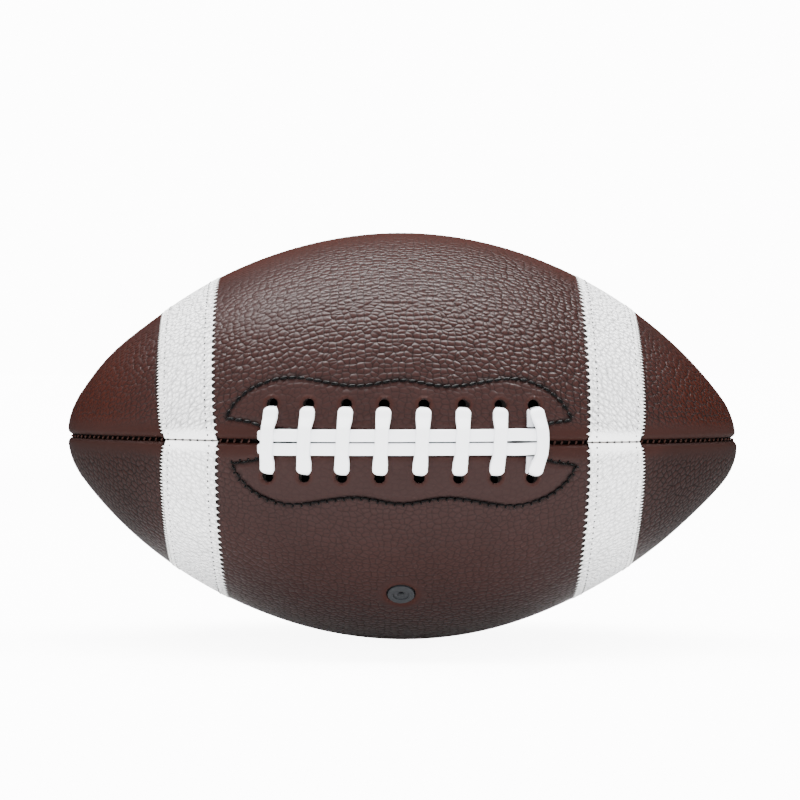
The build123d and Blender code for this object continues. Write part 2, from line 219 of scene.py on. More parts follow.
class BallForm:
    """The ball's outline, an arc over the belly and a smaller arc round each nose, turned about X."""

    SWELLS = (Swell(-123.0, 13.0, 90.0, 1.4), Swell(0.0, 45.0, 90.0, 0.6), Swell(95.0, 48.0, 90.0, -0.7),
              Swell(-75.0, 45.0, -90.0, -0.9), Swell(82.0, 38.0, -90.0, -1.4), Swell(138.0, 12.0, -90.0, 1.4))

    def __init__(self, sizes: BallSizes) -> None:
        """Works the two arcs out of the sizes.

        Args:
            sizes: length, radius and nose radius of the ball.
        """
        self.sizes = sizes
        self.nose_centre = sizes.half_length - sizes.nose_radius
        reach = sizes.radius - sizes.nose_radius
        self.belly_radius = (self.nose_centre**2 + sizes.radius**2 - sizes.nose_radius**2) / (2 * reach)
        self.belly_centre = sizes.radius - self.belly_radius
        self.nose_turn = math.atan2(self.nose_centre, -self.belly_centre)
        self.belly_arc = self.belly_radius * self.nose_turn
        self.half_arc = self.belly_arc + sizes.nose_radius * (QUARTER - self.nose_turn)

    def at_arc(self, arc: Array) -> tuple[Array, Array, Array, Array]:
        """Finds the outline at distances along it from the middle.

        Args:
            arc: signed distances along the outline.

        Returns:
            place along X, distance from the axis, and the two parts of the outward normal.
        """
        run = np.abs(arc)
        on_belly = run <= self.belly_arc
        nose_angle = self.nose_turn + (run - self.belly_arc) / self.sizes.nose_radius
        angle = np.where(on_belly, run / self.belly_radius, nose_angle)
        along = np.where(on_belly, self.belly_radius * np.sin(angle),
                         self.nose_centre + self.sizes.nose_radius * np.sin(angle))
        out = np.where(on_belly, self.belly_centre + self.belly_radius * np.cos(angle),
                       self.sizes.nose_radius * np.cos(angle))
        way = np.sign(arc)
        return way * along, np.maximum(out, 0.0), way * np.sin(angle), np.cos(angle)

    def arc_of(self, along: Array | float) -> Array:
        """Returns: the signed distance along the outline of places along X on the belly."""
        return self.belly_radius * np.arcsin(np.asarray(along) / self.belly_radius)

    def radius_at(self, along: Array | float) -> Array:
        """Returns: the ball's radius at places along X on the belly."""
        return self.belly_centre + np.sqrt(self.belly_radius**2 - np.asarray(along) ** 2)

    def swelling(self, along: Array, tilt: Array) -> Array:
        """Finds how far the sewn ball stands out of its turned outline.

        Args:
            along: places along X.
            tilt: turns in radians round X.

        Returns:
            heights, negative where the ball falls inside.
        """
        total = 0.0 * along * tilt
        for swell in self.SWELLS:
            facing = np.clip(np.cos(tilt - math.radians(swell.turn)), 0.0, 1.0) ** 2
            total = total + swell.height * facing * bell(along, swell.along, swell.reach)
        return total

    def place(self, arc: Array, tilt: Array | float, height: Array | float) -> Array:
        """Places points on or above the surface.

        Args:
            arc: distances along the outline.
            tilt: turns in radians round X, measured up from the laced seam.
            height: distances above the surface along its normal.

        Returns:
            points in millimetres, with the coordinates on the last axis.
        """
        along, out, lean, rise = self.at_arc(arc)
        height = height + self.swelling(along, tilt)
        reach = out + height * rise
        return np.stack([along + height * lean, -reach * np.cos(tilt), reach * np.sin(tilt)], axis=-1)

    def upright(self, arc: Array, tilt: Array | float, height: float) -> tuple[Array, Array]:
        """Returns: a point on or above the surface and the direction out of the surface there."""
        point = self.place(arc, tilt, height)
        return point, point - self.place(arc, tilt, height - 1.0)

    def on_front(self, along: Array | float, across: Array | float, height: Array | float) -> Array:
        """Returns: points at places along X, distances above the laced seam and heights above the surface."""
        tilt = np.arcsin(across / self.radius_at(along))
        return self.place(self.arc_of(along), tilt, height)


class Bench:
    """Modelling moves that several pieces share."""

    JOIN_REACH = 0.01
    WELD_REACH = 0.02
    PUNCH_REACH = 3.0
    SHARP_ANGLE = 60.0

    @staticmethod
    def clear() -> None:
        """Deselects everything, so that the next move touches only its own piece."""
        bpy.ops.object.select_all(action="DESELECT")

    @staticmethod
    def shaped_grid(name: str, points: Array, joined: bool = False) -> Piece:
        """Adds a grid and moves its vertices to the given points.

        Args:
            name: name of the piece.
            points: millimetre points in rows and columns.
            joined: True where the last column closes on the first and rows end in a point.

        Returns:
            the new object.
        """
        Bench.clear()
        rows, columns = points.shape[:2]
        bpy.ops.mesh.primitive_grid_add(x_subdivisions=columns - 1, y_subdivisions=rows - 1, size=1)
        piece = bpy.context.object
        piece.name = piece.data.name = name
        piece.data.vertices.foreach_set("co", (points * MM).astype(np.float32).ravel())
        if joined:
            bpy.ops.object.mode_set(mode="EDIT")
            bpy.ops.mesh.select_all(action="SELECT")
            bpy.ops.mesh.remove_doubles(threshold=Bench.JOIN_REACH * MM)
            bpy.ops.mesh.normals_make_consistent(inside=False)
            bpy.ops.object.mode_set(mode="OBJECT")
        piece.data.update()
        bpy.ops.object.shade_smooth()
        return piece

    @staticmethod
    def face_out(piece: Piece) -> None:
        """Turns a sheet's faces away from the ball's axis.

        Args:
            piece: sheet to turn.
        """
        polygons = piece.data.polygons
        normals, centres = np.empty(len(polygons) * 3), np.empty(len(polygons) * 3)
        polygons.foreach_get("normal", normals)
        polygons.foreach_get("center", centres)
        if float(normals @ centres) < 0:
            piece.data.flip_normals()

    @staticmethod
    def weld(piece: Piece) -> None:
        """Joins the vertices of a sheet that meet in one place.

        Args:
            piece: sheet to close.
        """
        shape = bmesh.new()
        shape.from_mesh(piece.data)
        bmesh.ops.remove_doubles(shape, verts=shape.verts, dist=Bench.WELD_REACH * MM)
        shape.to_mesh(piece.data)
        shape.free()

    @staticmethod
    def punch(piece: Piece, centre: Array, radius: float) -> None:
        """Cuts a round hole out of a sheet and rounds its edge.

        Args:
            piece: sheet to cut.
            centre: middle of the hole on the surface.
            radius: radius of the hole.
        """
        shape = bmesh.new()
        shape.from_mesh(piece.data)
        middle = Vector(centre) * MM
        axis = Vector((0.0, middle.y, middle.z)).normalized()
        reach = (radius + Bench.PUNCH_REACH) * MM
        near = [corner for corner in shape.verts if (corner.co - middle).length < reach]

        def spoke(corner: bmesh.types.BMVert) -> Vector:
            """Returns: the way from the hole's axis to a vertex."""
            way = corner.co - middle
            return way - axis * way.dot(axis)

        gone = [corner for corner in near if spoke(corner).length < radius * MM]
        kept = set(near) - set(gone)
        rim = {end for corner in gone for face in corner.link_faces for end in face.verts if end in kept}
        for corner in rim:
            way = spoke(corner)
            corner.co += way.normalized() * (radius * MM - way.length)
        bmesh.ops.delete(shape, geom=gone, context="VERTS")
        shape.to_mesh(piece.data)
        shape.free()

    @staticmethod
    def thicken(piece: Piece, thickness: float) -> None:
        """Gives a sheet a wall inwards and keeps its cut edges crisp.

        Args:
            piece: sheet to thicken.
            thickness: wall in millimetres.
        """
        Bench.clear()
        piece.select_set(True)
        bpy.context.view_layer.objects.active = piece
        wall = piece.modifiers.new("Wall", "SOLIDIFY")
        wall.thickness = thickness * MM
        wall.offset = -1.0
        bpy.ops.object.modifier_apply(modifier=wall.name)
        piece.data.set_sharp_from_angle(angle=math.radians(Bench.SHARP_ANGLE))

    @staticmethod
    def repeated(name: str, pattern: Piece, places: Sequence[Matrix]) -> Piece:
        """Repeats one small shape as a single piece.

        Args:
            name: name of the piece.
            pattern: shape to repeat; it is removed afterwards.
            places: placements in millimetres of a shape that is modelled in millimetres.

        Returns:
            the new object.
        """
        shape = np.array([corner.co[:] for corner in pattern.data.vertices])
        faces = [tuple(face.vertices) for face in pattern.data.polygons]
        corners, sides = [], []
        for count, place in enumerate(places):
            turned = shape @ np.array(place.to_3x3()).T + np.array(place.translation)
            corners.extend((turned * MM).tolist())
            sides.extend(tuple(count * len(shape) + corner for corner in face) for face in faces)
        mesh = bpy.data.meshes.new(name)
        mesh.from_pydata(corners, [], sides)
        mesh.shade_smooth()
        piece = bpy.data.objects.new(name, mesh)
        bpy.context.scene.collection.objects.link(piece)
        bpy.data.objects.remove(pattern)
        return piece

    @staticmethod
    def bead(sides: int = 8, rings: int = 6) -> Piece:
        """Adds a ball of radius 1 to be stretched into stitches.

        Args:
            sides: faces round it.
            rings: faces from end to end.

        Returns:
            the new object.
        """
        Bench.clear()
        bpy.ops.mesh.primitive_uv_sphere_add(segments=sides, ring_count=rings, radius=1.0)
        return bpy.context.object

    @staticmethod
    def spike(sides: int = 8) -> Piece:
        """Adds a cone along X, from a base of radius 1 at -1 to a point at 1, for the ends of stitches.

        Args:
            sides: faces round it.

        Returns:
            the new object.
        """
        Bench.clear()
        bpy.ops.mesh.primitive_cone_add(vertices=sides, radius1=1.0, radius2=0.0, depth=2.0,
                                        rotation=(0.0, QUARTER, 0.0))
        bpy.ops.object.transform_apply(location=False, rotation=True, scale=False)
        return bpy.context.object

    @staticmethod
    def joined(name: str, pieces: Sequence[Piece]) -> Piece:
        """Joins pieces into one.

        Args:
            name: name of the joined piece.
            pieces: pieces to join.

        Returns:
            the joined piece.
        """
        Bench.clear()
        for piece in pieces:
            piece.select_set(True)
        bpy.context.view_layer.objects.active = pieces[0]
        bpy.ops.object.join()
        pieces[0].name = pieces[0].data.name = name
        return pieces[0]

    @staticmethod
    def store(piece: Piece, **layers: Array) -> None:
        """Writes values to a piece's vertices for its material to read.

        Args:
            piece: piece to write to.
            layers: one number or one row of three numbers per vertex, by the attribute's name.
        """
        for name, values in layers.items():
            flat = values.ndim == 1
            layer = piece.data.attributes.new(name, "FLOAT" if flat else "FLOAT_VECTOR", "POINT")
            layer.data.foreach_set("value" if flat else "vector", values.astype(np.float32).ravel())


def stitch_place(start: Array, stop: Array, up: Array, width: float, lift: float) -> Matrix:
    """Stretches a ball of radius 1 into a stitch between two points.

    Args:
        start: first end.
        stop: second end.
        up: direction out of the surface.
        width: half the stitch's width.
        lift: half its height.

    Returns:
        placement of the ball.
    """
    run = Vector(stop - start)
    along = run.normalized()
    out = Vector(up)
    out = (out - along * out.dot(along)).normalized()
    side = out.cross(along)
    turned = Matrix((along * (run.length / 2), side * width, out * lift)).transposed().to_4x4()
    return Matrix.Translation(Vector((start + stop) / 2)) @ turned


@dataclass(frozen=True)
class LeatherFinish:
    """Colours, grain and gloss of grained leather, with the crease and shadow colours painted as shade; the
    rough values say what each part adds to roughness.
    """

    base: Colour = (0.0246, 0.0096, 0.0084)
    crease: Colour = (0.010, 0.0034, 0.0027)
    # Redder colour of rubbed edges and tips; it is also painted top light near the top seam and a painted
    # highlight on the lace holes' rims.
    edge: Colour = (0.030, 0.0059, 0.0031)
    shadow: Colour = (0.0012, 0.0006, 0.0005)
    roughness: float = 0.47
    rough_crease: float = 0.25
    rough_grain: float = -0.15
    rough_edge: float = 0.04
    rough_shade: float = 0.45
    specular: float = 0.3
    cell: float = 2.1
    depth: float = 0.42
    cloud_scale: float = 45.0
    cloud_detail: float = 3.0
    cloud_tones: Span = (0.82, 1.18)
    pore_scale: float = 1600.0
    pore_strength: float = 0.12
    pore_depth: float = 0.1


@dataclass(frozen=True)
class PlainFinish:
    """Finish of a piece of one colour with a fine surface."""

    colour: Colour
    roughness: float
    grain: float = 0.0
    grain_cell: float = 0.6
    specular: float = 0.5
    mottle: float = 0.14


WHITE = (0.94, 0.94, 0.945)
BLACK_CLOTH = PlainFinish((0.003, 0.003, 0.003), 0.8, 0.1, 0.6, 0.2)
FINISHES: dict[str, LeatherFinish | PlainFinish] = {
    "leather": LeatherFinish(),
    "band": LeatherFinish(base=WHITE, crease=(0.80, 0.80, 0.81), edge=WHITE, shadow=(0.20, 0.17, 0.15),
                          roughness=0.54, cell=1.8, depth=1.9),
    "lining": PlainFinish((0.012, 0.010, 0.009), 0.9, 0.1),
    "patch": BLACK_CLOTH,
    "tongue": BLACK_CLOTH,
    "bladder": PlainFinish((0.012, 0.012, 0.013), 0.5, 0.05),
    "valve": PlainFinish((0.022, 0.024, 0.027), 0.4, 0.04),
    "lace": PlainFinish((0.955, 0.97, 1.0), 0.36, 0.14, 1.6, mottle=0.02),
    # The lace's white painted grey: painted shade on the slanted fold of the last bar.
    "lace_side": PlainFinish((0.50, 0.51, 0.54), 0.5, 0.1, 1.6),
    "band_thread": PlainFinish((0.86, 0.86, 0.85), 0.6, 0.05, 0.3),
    # Near-black beads: painted shade in the bands' needle holes, and the dark stitches in the seam between
    # two bands.
    "needle_hole": PlainFinish((0.02, 0.018, 0.018), 0.9),
    "seam_thread": PlainFinish((0.030, 0.0066, 0.0030), 0.6, 0.06, 0.3),
    "wave_thread": PlainFinish((0.0012, 0.0013, 0.0014), 0.36, 0.12, 0.35, 0.4),
}


class Wiring:
    """Adds shader nodes to a tree and links them."""

    MIX_COLOURS = (6, 7)
    MIX_RESULT = 2

    def __init__(self, tree: bpy.types.NodeTree) -> None:
        """Keeps the tree that nodes are added to."""
        self.tree = tree

    def fill(self, node: bpy.types.Node, inputs: dict[str | int, Value]) -> None:
        """Links a node's inputs to sockets, or sets them to numbers, vectors or colours.

        Args:
            node: node to fill.
            inputs: what each input gets, by its name or number.
        """
        for key, value in inputs.items():
            socket = node.inputs[key]
            if isinstance(value, Socket):
                self.tree.links.new(value, socket)
            else:
                socket.default_value = (*value, 1.0) if socket.type == "RGBA" else value

    def add(self, kind: str, inputs: dict[str | int, Value], **settings: object) -> bpy.types.NodeOutputs:
        """Adds a shader node.

        Args:
            kind: its type, without the words that all shader nodes start with.
            inputs: what each input gets, by its name or number.
            settings: its own settings.

        Returns:
            its outputs.
        """
        node = self.tree.nodes.new(f"ShaderNode{kind}")
        for name, value in settings.items():
            setattr(node, name, value)
        self.fill(node, inputs)
        return node.outputs

    def attribute(self, name: str) -> bpy.types.NodeOutputs:
        """Returns: the outputs of a node that reads a vertex attribute."""
        return self.add("Attribute", {}, attribute_name=name)

    def noise(self, place: Socket, scale: float, detail: float = 2.0) -> bpy.types.NodeOutputs:
        """Returns: the outputs of a cloudy pattern."""
        return self.add("TexNoise", {"Vector": place, "Scale": scale, "Detail": detail})

    def scaled(self, value: Value, factor: Value, start: Value = 0.0) -> Socket:
        """Returns: the socket of a value times a factor, added to a start."""
        return self.add("Math", {0: value, 1: factor, 2: start}, operation="MULTIPLY_ADD")["Value"]

    def ranged(self, value: Socket, source: Span, target: Span, kind: str = "LINEAR") -> Socket:
        """Returns: the socket of a value carried over from one span to another."""
        ends = dict(zip(("From Min", "From Max", "To Min", "To Max"), (*source, *target)))
        return self.add("MapRange", {"Value": value, **ends}, interpolation_type=kind)["Result"]

    def mixed(self, share: Socket, low: Value, high: Value) -> Socket:
        """Returns: the socket of a colour between a low and a high one."""
        first, second = self.MIX_COLOURS
        return self.add("Mix", {"Factor": share, first: low, second: high}, data_type="RGBA")[self.MIX_RESULT]


class Palette:
    """Builds and keeps the materials."""

    WANDER_SCALE = 260.0
    WANDER_DETAIL = 1.0
    WANDER_REACH = (0.0016, 0.0016, 0.0)
    RANDOMNESS = 0.82
    PLATEAU_WIDTH = 0.34
    PLATEAU_HEIGHT = 0.22
    DOME_POWER = 2.0
    DOME_FALL = -1.5
    CREASE_WIDTH = 0.18

    def __init__(self) -> None:
        """Makes the shared pebble group and every material of the ball."""
        self.made: dict[str, bpy.types.Material] = {}
        self.pebble = self.pebble_group()
        for name, finish in FINISHES.items():
            if isinstance(finish, LeatherFinish):
                self.grained(name, finish)
            else:
                self.plain(name, finish)

    def pebble_group(self) -> bpy.types.ShaderNodeTree:
        """Builds the node group that turns a flat pattern's place into a pebbled height.

        Returns:
            the group, with the outputs Height and Crease.
        """
        group = bpy.data.node_groups.new("Pebble", "ShaderNodeTree")
        for name, way, kind in (("Place", "INPUT", "Vector"), ("Scale", "INPUT", "Float"),
                                ("Height", "OUTPUT", "Float"), ("Crease", "OUTPUT", "Float")):
            group.interface.new_socket(name, in_out=way, socket_type=f"NodeSocket{kind}")
        wiring = Wiring(group)
        entry = group.nodes.new("NodeGroupInput").outputs
        place = entry["Place"]
        wander = wiring.noise(place, self.WANDER_SCALE, self.WANDER_DETAIL)["Color"]
        parts = {0: wander, 1: self.WANDER_REACH, 2: place}
        moved = wiring.add("VectorMath", parts, operation="MULTIPLY_ADD")["Vector"]
        cells = {"Vector": moved, "Scale": entry["Scale"], "Randomness": self.RANDOMNESS}
        border, middle = (
            wiring.add("TexVoronoi", cells, voronoi_dimensions="2D", feature=feature)["Distance"]
            for feature in ("DISTANCE_TO_EDGE", "F1"))
        plateau = wiring.ranged(border, (0.0, self.PLATEAU_WIDTH), (0.0, self.PLATEAU_HEIGHT), "SMOOTHSTEP")
        rounded = wiring.add("Math", {0: middle, 1: self.DOME_POWER}, operation="POWER")["Value"]
        wiring.fill(group.nodes.new("NodeGroupOutput"), {
            "Height": wiring.scaled(rounded, self.DOME_FALL, plateau),
            "Crease": wiring.ranged(border, (0.0, self.CREASE_WIDTH), (1.0, 0.0), "SMOOTHSTEP")})
        return group

    def start(self, name: str) -> tuple[Wiring, bpy.types.Node]:
        """Starts a material.

        Args:
            name: name of the material.

        Returns:
            the wiring of its nodes and its main shader.
        """
        material = bpy.data.materials.new(name)
        material.use_nodes = True
        self.made[name] = material
        return Wiring(material.node_tree), material.node_tree.nodes["Principled BSDF"]

    def grained(self, name: str, finish: LeatherFinish) -> None:
        """Builds a pebbled leather that reads the attributes flat, grain, edge and shade.

        Args:
            name: name of the material.
            finish: its colours and grain.
        """
        wiring, shader = self.start(name)
        flat = wiring.attribute("flat")["Vector"]
        grain, edge, shade = (wiring.attribute(part)["Fac"] for part in ("grain", "edge", "shade"))
        cells = {"Place": flat, "Scale": 1.0 / (finish.cell * MM)}
        pebble = wiring.add("Group", cells, node_tree=self.pebble)
        crease = wiring.scaled(pebble["Crease"], grain)
        cloud = wiring.noise(flat, finish.cloud_scale, finish.cloud_detail)["Fac"]
        body = wiring.mixed(edge, finish.base, finish.edge)
        tone = wiring.ranged(cloud, (0.0, 1.0), finish.cloud_tones)
        toned = wiring.add("VectorMath", {0: body, "Scale": tone}, operation="SCALE")["Vector"]
        rough: Value = finish.roughness
        for share, added in ((crease, finish.rough_crease), (grain, finish.rough_grain),
                             (edge, finish.rough_edge), (shade, finish.rough_shade)):
            rough = wiring.scaled(share, added, rough)
        pores = wiring.noise(flat, finish.pore_scale)["Fac"]
        fine = wiring.add("Bump", {"Strength": finish.pore_strength, "Distance": finish.pore_depth * MM,
                                   "Height": pores})["Normal"]
        bump = wiring.add("Bump", {"Strength": grain, "Distance": finish.depth * MM,
                                   "Height": pebble["Height"], "Normal": fine})["Normal"]
        # Base colour: painted shade darkens the pebbles' creases, and painted shadow darkens the places that
        # the shade attribute marks.
        wiring.fill(shader, {
            "Base Color": wiring.mixed(shade, wiring.mixed(crease, toned, finish.crease), finish.shadow),
            "Specular IOR Level": finish.specular, "Roughness": rough, "Normal": bump})

    def plain(self, name: str, finish: PlainFinish) -> None:
        """Builds a one-colour material with a fine surface.

        Args:
            name: name of the material.
            finish: its colour, roughness and grain.
        """
        wiring, shader = self.start(name)
        place = wiring.add("TexCoord", {})["Object"]
        cloud = wiring.noise(place, 1.0 / (finish.grain_cell * MM))["Fac"]
        shade = tuple(part * (1 - finish.mottle) for part in finish.colour)
        bump = wiring.add("Bump", {"Strength": 1.0, "Distance": finish.grain * MM, "Height": cloud})["Normal"]
        wiring.fill(shader, {
            "Base Color": wiring.mixed(cloud, finish.colour, shade), "Roughness": finish.roughness,
            "Specular IOR Level": finish.specular, "Normal": bump})


@dataclass(frozen=True)
class SeamSizes:
    """Rolled, turned-in edges of the panels and the thread between them."""

    roll: float = 3.0
    gap: float = 0.45
    crest: float = 0.18
    thread: float = 0.42
    thread_reach: float = 1.0
    thread_slant: float = 0.35
    thread_depth: float = 1.2
    pitch: float = 3.1
    pucker: float = 0.14
    pucker_middle: float = 1.6
    pucker_reach: float = 1.2
    nose_fill: float = 1.1
    nose_fill_from: float = 10.0
    nose_fill_full: float = 2.0
    nose_margin: float = 7.5
    lace_end: float = 61.0


@dataclass(frozen=True)
class WearSizes:
    """How grain, wear, painted shade and painted top light run over the leather; a span says between which
    places one changes.
    """

    wall: float = 1.6
    grain_span: Span = (3.4, 10.0)
    edge_span: Span = (3.0, 9.0)
    gap_span: Span = (0.55, 1.2)
    tip_span: Span = (92.0, 126.0)
    tip_upper: float = 0.95
    tip_lower: float = 0.7
    left_tip_loss: float = 0.15
    # Distances from the top seam over which the grain smooths and painted top light reddens the colour.
    stretch_span: Span = (10.0, 42.0)
    stretch_loss: float = 0.6
    calm_side: float = 0.75
    calm_side_span: Span = (-60.0, 60.0)
    laced_shade: float = 0.22
    outline_calm_upper: float = 0.4
    outline_calm_lower: float = 0.6
    lower_grain: float = 0.5
    lower_tip_grain: float = 0.4
    lower_tip_grain_span: Span = (86.0, 112.0)
    lower_tip_shade: float = 0.35
    lower_tip_shade_span: Span = (86.0, 118.0)
    left_calm: float = 0.35
    left_calm_span: Span = (-64.0, -24.0)
    left_calm_rise: Span = (36.0, 50.0)


@dataclass(frozen=True)
class BandSizes:
    """White bands let into the front panels and the zigzag stitches along their edges."""

    inner: float = 75.5
    outer: float = 98.0
    lean_from: float = 15.0
    inner_flare: float = 1.6
    outer_flare: float = 2.4
    flare_reach: float = 7.0
    proud: float = 0.10
    sunk: float = 0.55
    sunk_span: Span = (-0.35, 0.7)
    gap_span: Span = (-1.0, -0.25)
    wall: float = 0.6
    roll: float = 1.0
    roll_gap: float = 0.05
    lip: float = 0.7
    stitch_pitch: float = 2.9
    stitch_margin: float = 2.2
    stitch_slant: float = 0.4
    stitch_root: float = 0.35
    inner_hem: float = 2.9
    outer_hem: float = 2.5
    inner_tooth: float = 1.45
    outer_tooth: float = 0.9
    tooth_base: float = 1.0
    tooth_lift: float = 0.34
    thread: float = 0.2
    # Half widths of the dark beads of painted shade in the inner and outer needle holes.
    needle_hole: float = 0.42
    faint_hole: float = 0.3
    hole_lift: float = 0.26
    seam_dot_from: float = 1.5
    seam_dot: Triple = (0.55, 0.46, 0.3)


@dataclass(frozen=True)
class LaceSizes:
    """Lace, its holes and the waved outline sewn round them."""

    places: tuple[float, ...] = (-52.1, -37.6, -22.7, -7.8, 7.8, 23.3, 37.9, 51.75)
    lean: float = 1.7
    last_lean: float = 0.5
    rise: float = 0.55
    hole_offset: float = 14.3
    hole_radius: float = 2.2
    rim: float = 0.6
    rim_at: Span = (0.8, 0.55)
    # Share of the redder edge colour painted on each hole's raised rim: a painted highlight.
    rim_painted_highlight: float = 0.8
    second_rim: float = 0.4
    second_rim_at: Span = (2.3, 0.5)
    lip: float = 0.6
    lip_at: Span = (-0.2, 0.5)
    lip_shade: float = 0.9
    hole_calm: float = 4.5
    hole_calm_power: int = 4
    width: float = 5.15
    shoulder: float = 6.0
    pinch: float = 4.3
    thickness: float = 2.3
    crossing: float = 3.7
    upper_strand: float = 2.35
    lower_strand: float = 2.95
    strand_width: float = 4.9
    strand_climb: float = 0.8
    end_bow: float = 2.75
    end_roll: float = 0.22
    outline_half: float = 67.5
    outline_height: float = 24.8
    outline_inner: float = 4.7
    outline_bend: float = 0.3
    outline_turn: float = 7.6
    outline_point: float = 9.0
    upper_left_reach: float = 2.4
    lower_right_reach: float = 1.9
    stitch: float = 3.4
    stitch_share: float = 0.98
    stitch_radius: float = 0.68
    stitch_twist: float = 0.25
    stitch_depth: float = 0.12
    thin_radius: float = 0.48
    tick: float = 1.5
    channel: float = 0.35
    channel_reach: float = 0.9
    channel_shade: float = 0.8
    channel_shade_reach: float = 0.75
    pad: float = 0.25
    pad_inside_span: Span = (0.6, 3.0)
    pad_line_span: Span = (0.6, 2.5)
    calm_inside_span: Span = (-0.5, 1.5)
    calm_end_span: Span = (72.0, 66.0)

    def leans(self) -> tuple[float, ...]:
        """Returns: how far along X each bar leans from its lower hole to its upper one."""
        return (self.lean,) * (len(self.places) - 1) + (self.last_lean,)


@dataclass(frozen=True)
class ValveSizes:
    """Opening for the valve in the lower front panel and the lip of leather round it."""

    turn: float = 46.7
    radius: float = 5.75
    cut: float = 7.2
    lip_profile: tuple[Span, ...] = (
        (0.0, -2.2), (0.0, -0.95), (0.05, -0.6), (0.2, -0.34), (0.5, -0.14), (1.0, 0.0), (1.6, 0.06),
        (2.2, 0.09), (2.8, 0.08), (3.4, 0.05), (4.0, 0.02), (4.6, -0.06))
    lip_step: float = 0.2
    lip_points: int = 73
    grain: float = 0.2
    grain_span: Span = (1.2, 4.0)
    edge: float = 0.7
    edge_span: Span = (0.8, 3.0)
    above_span: Span = (-0.6, 0.6)
    shade_span: Span = (0.02, 0.3)
    shade_wider: float = 0.45
    shade_below: float = 0.25


@dataclass(frozen=True)
class Sizes:
    """All sizes of the ball, in millimetres."""

    ball: BallSizes = BallSizes()
    seam: SeamSizes = SeamSizes()
    wear: WearSizes = WearSizes()
    band: BandSizes = BandSizes()
    lace: LaceSizes = LaceSizes()
    valve: ValveSizes = ValveSizes()


class WavedOutline:
    """The closed, waved line of stitches round the lace holes, in one panel's own plane."""

    SHARES = ((-1.0, 0.375), (-0.94, 0.63), (-0.82, 0.88), (-0.63, 1.0), (-0.28, 0.875), (0.0, 0.97),
              (0.28, 0.875), (0.63, 1.0), (0.82, 0.88), (0.94, 0.63), (1.0, 0.375))
    EDGE_SHARES = (1.0, 0.86, 0.7, 0.0, -0.7, -0.86, -1.0)
    DRAWN_SPAN = (0.55, 1.0)
    STEP = 1.0
    NEAR = (72.0, 30.0)
    FAR_AWAY = 99.0

    def __init__(self, sizes: LaceSizes, side: Side) -> None:
        """Runs the wave and the edge along the seam.

        Args:
            sizes: sizes of the lace and its outline.
            side: panel that the line is sewn through.
        """
        upper = side is Side.FRONT_UPPER
        self.half = sizes.outline_half
        self.left_reach = sizes.upper_left_reach if upper else 0.0
        self.right_reach = sizes.lower_right_reach if side is Side.FRONT_LOWER else 0.0
        peak = sizes.outline_height + (sizes.rise if upper else 0.0)
        bend = sizes.outline_inner + sizes.outline_bend
        levels = [sizes.outline_point, sizes.outline_turn, bend]
        levels = levels + [sizes.outline_inner] + levels[::-1]
        self.wave = self.drawn_out([(along, high * peak) for along, high in self.SHARES])
        self.edge = self.drawn_out(list(zip(self.EDGE_SHARES, levels)))

    def drawn_out(self, knots: Sequence[Span]) -> Array:
        """Runs a line through knots and draws its points out to one end.

        Args:
            knots: rows of share of half the outline's length and distance from the seam.

        Returns:
            rows of place along X and distance from the seam.
        """
        line = spline(np.array([(along * self.half, high) for along, high in knots]), self.STEP)
        share = line[:, 0] / self.half
        left = self.left_reach * smooth_step(*self.DRAWN_SPAN, -share)
        right = self.right_reach * smooth_step(*self.DRAWN_SPAN, share)
        return np.stack([line[:, 0] - left + right, line[:, 1]], axis=1)

    def away(self, along: Array, across: Array) -> Array:
        """Tells how far points lie from the line.

        Args:
            along: places along X.
            across: distances from the seam.

        Returns:
            distances, which count as far away outside the lace's surroundings.
        """
        flat = np.stack([along.ravel(), across.ravel()], axis=1)
        close = (np.abs(flat[:, 0]) < self.NEAR[0]) & (flat[:, 1] < self.NEAR[1])
        gap = np.full(len(flat), self.FAR_AWAY)
        gap[close] = distance_to_route(flat[close], np.vstack([self.wave, self.edge[1:]]))
        return gap.reshape(along.shape)

    def inside(self, along: Array, across: Array) -> Array:
        """Tells how far inside the wave points lie.

        Args:
            along: places along X.
            across: distances from the seam.

        Returns:
            distance below the wave, negative beyond it.
        """
        order = np.argsort(self.wave[:, 0])
        top = np.interp(along, self.wave[order, 0], self.wave[order, 1], left=0.0, right=0.0)
        return top - across


@dataclass
class Skin:
    """What the surface of a panel does at each of its points."""

    height: Array
    grain: Array
    edge: Array
    shade: Array

    def darken(self, amount: Array) -> None:
        """Darkens the surface by a share of shadow where it lies in a gap."""
        self.shade = np.maximum(self.shade, amount)

    def rub(self, amount: Array) -> None:
        """Gives the surface the redder colour of rubbed edges by a share, which also stands as painted light
        on the top zone and on the hole rims.
        """
        self.edge = np.maximum(self.edge, amount)


def flat_pattern(arc: Array, spread: Array) -> Array:
    """Returns: rows of places in metres on the flat pattern that carries the grain."""
    return np.stack([GRAIN_STRETCH * arc, spread, 0 * arc], axis=-1).reshape(-1, 3) * MM


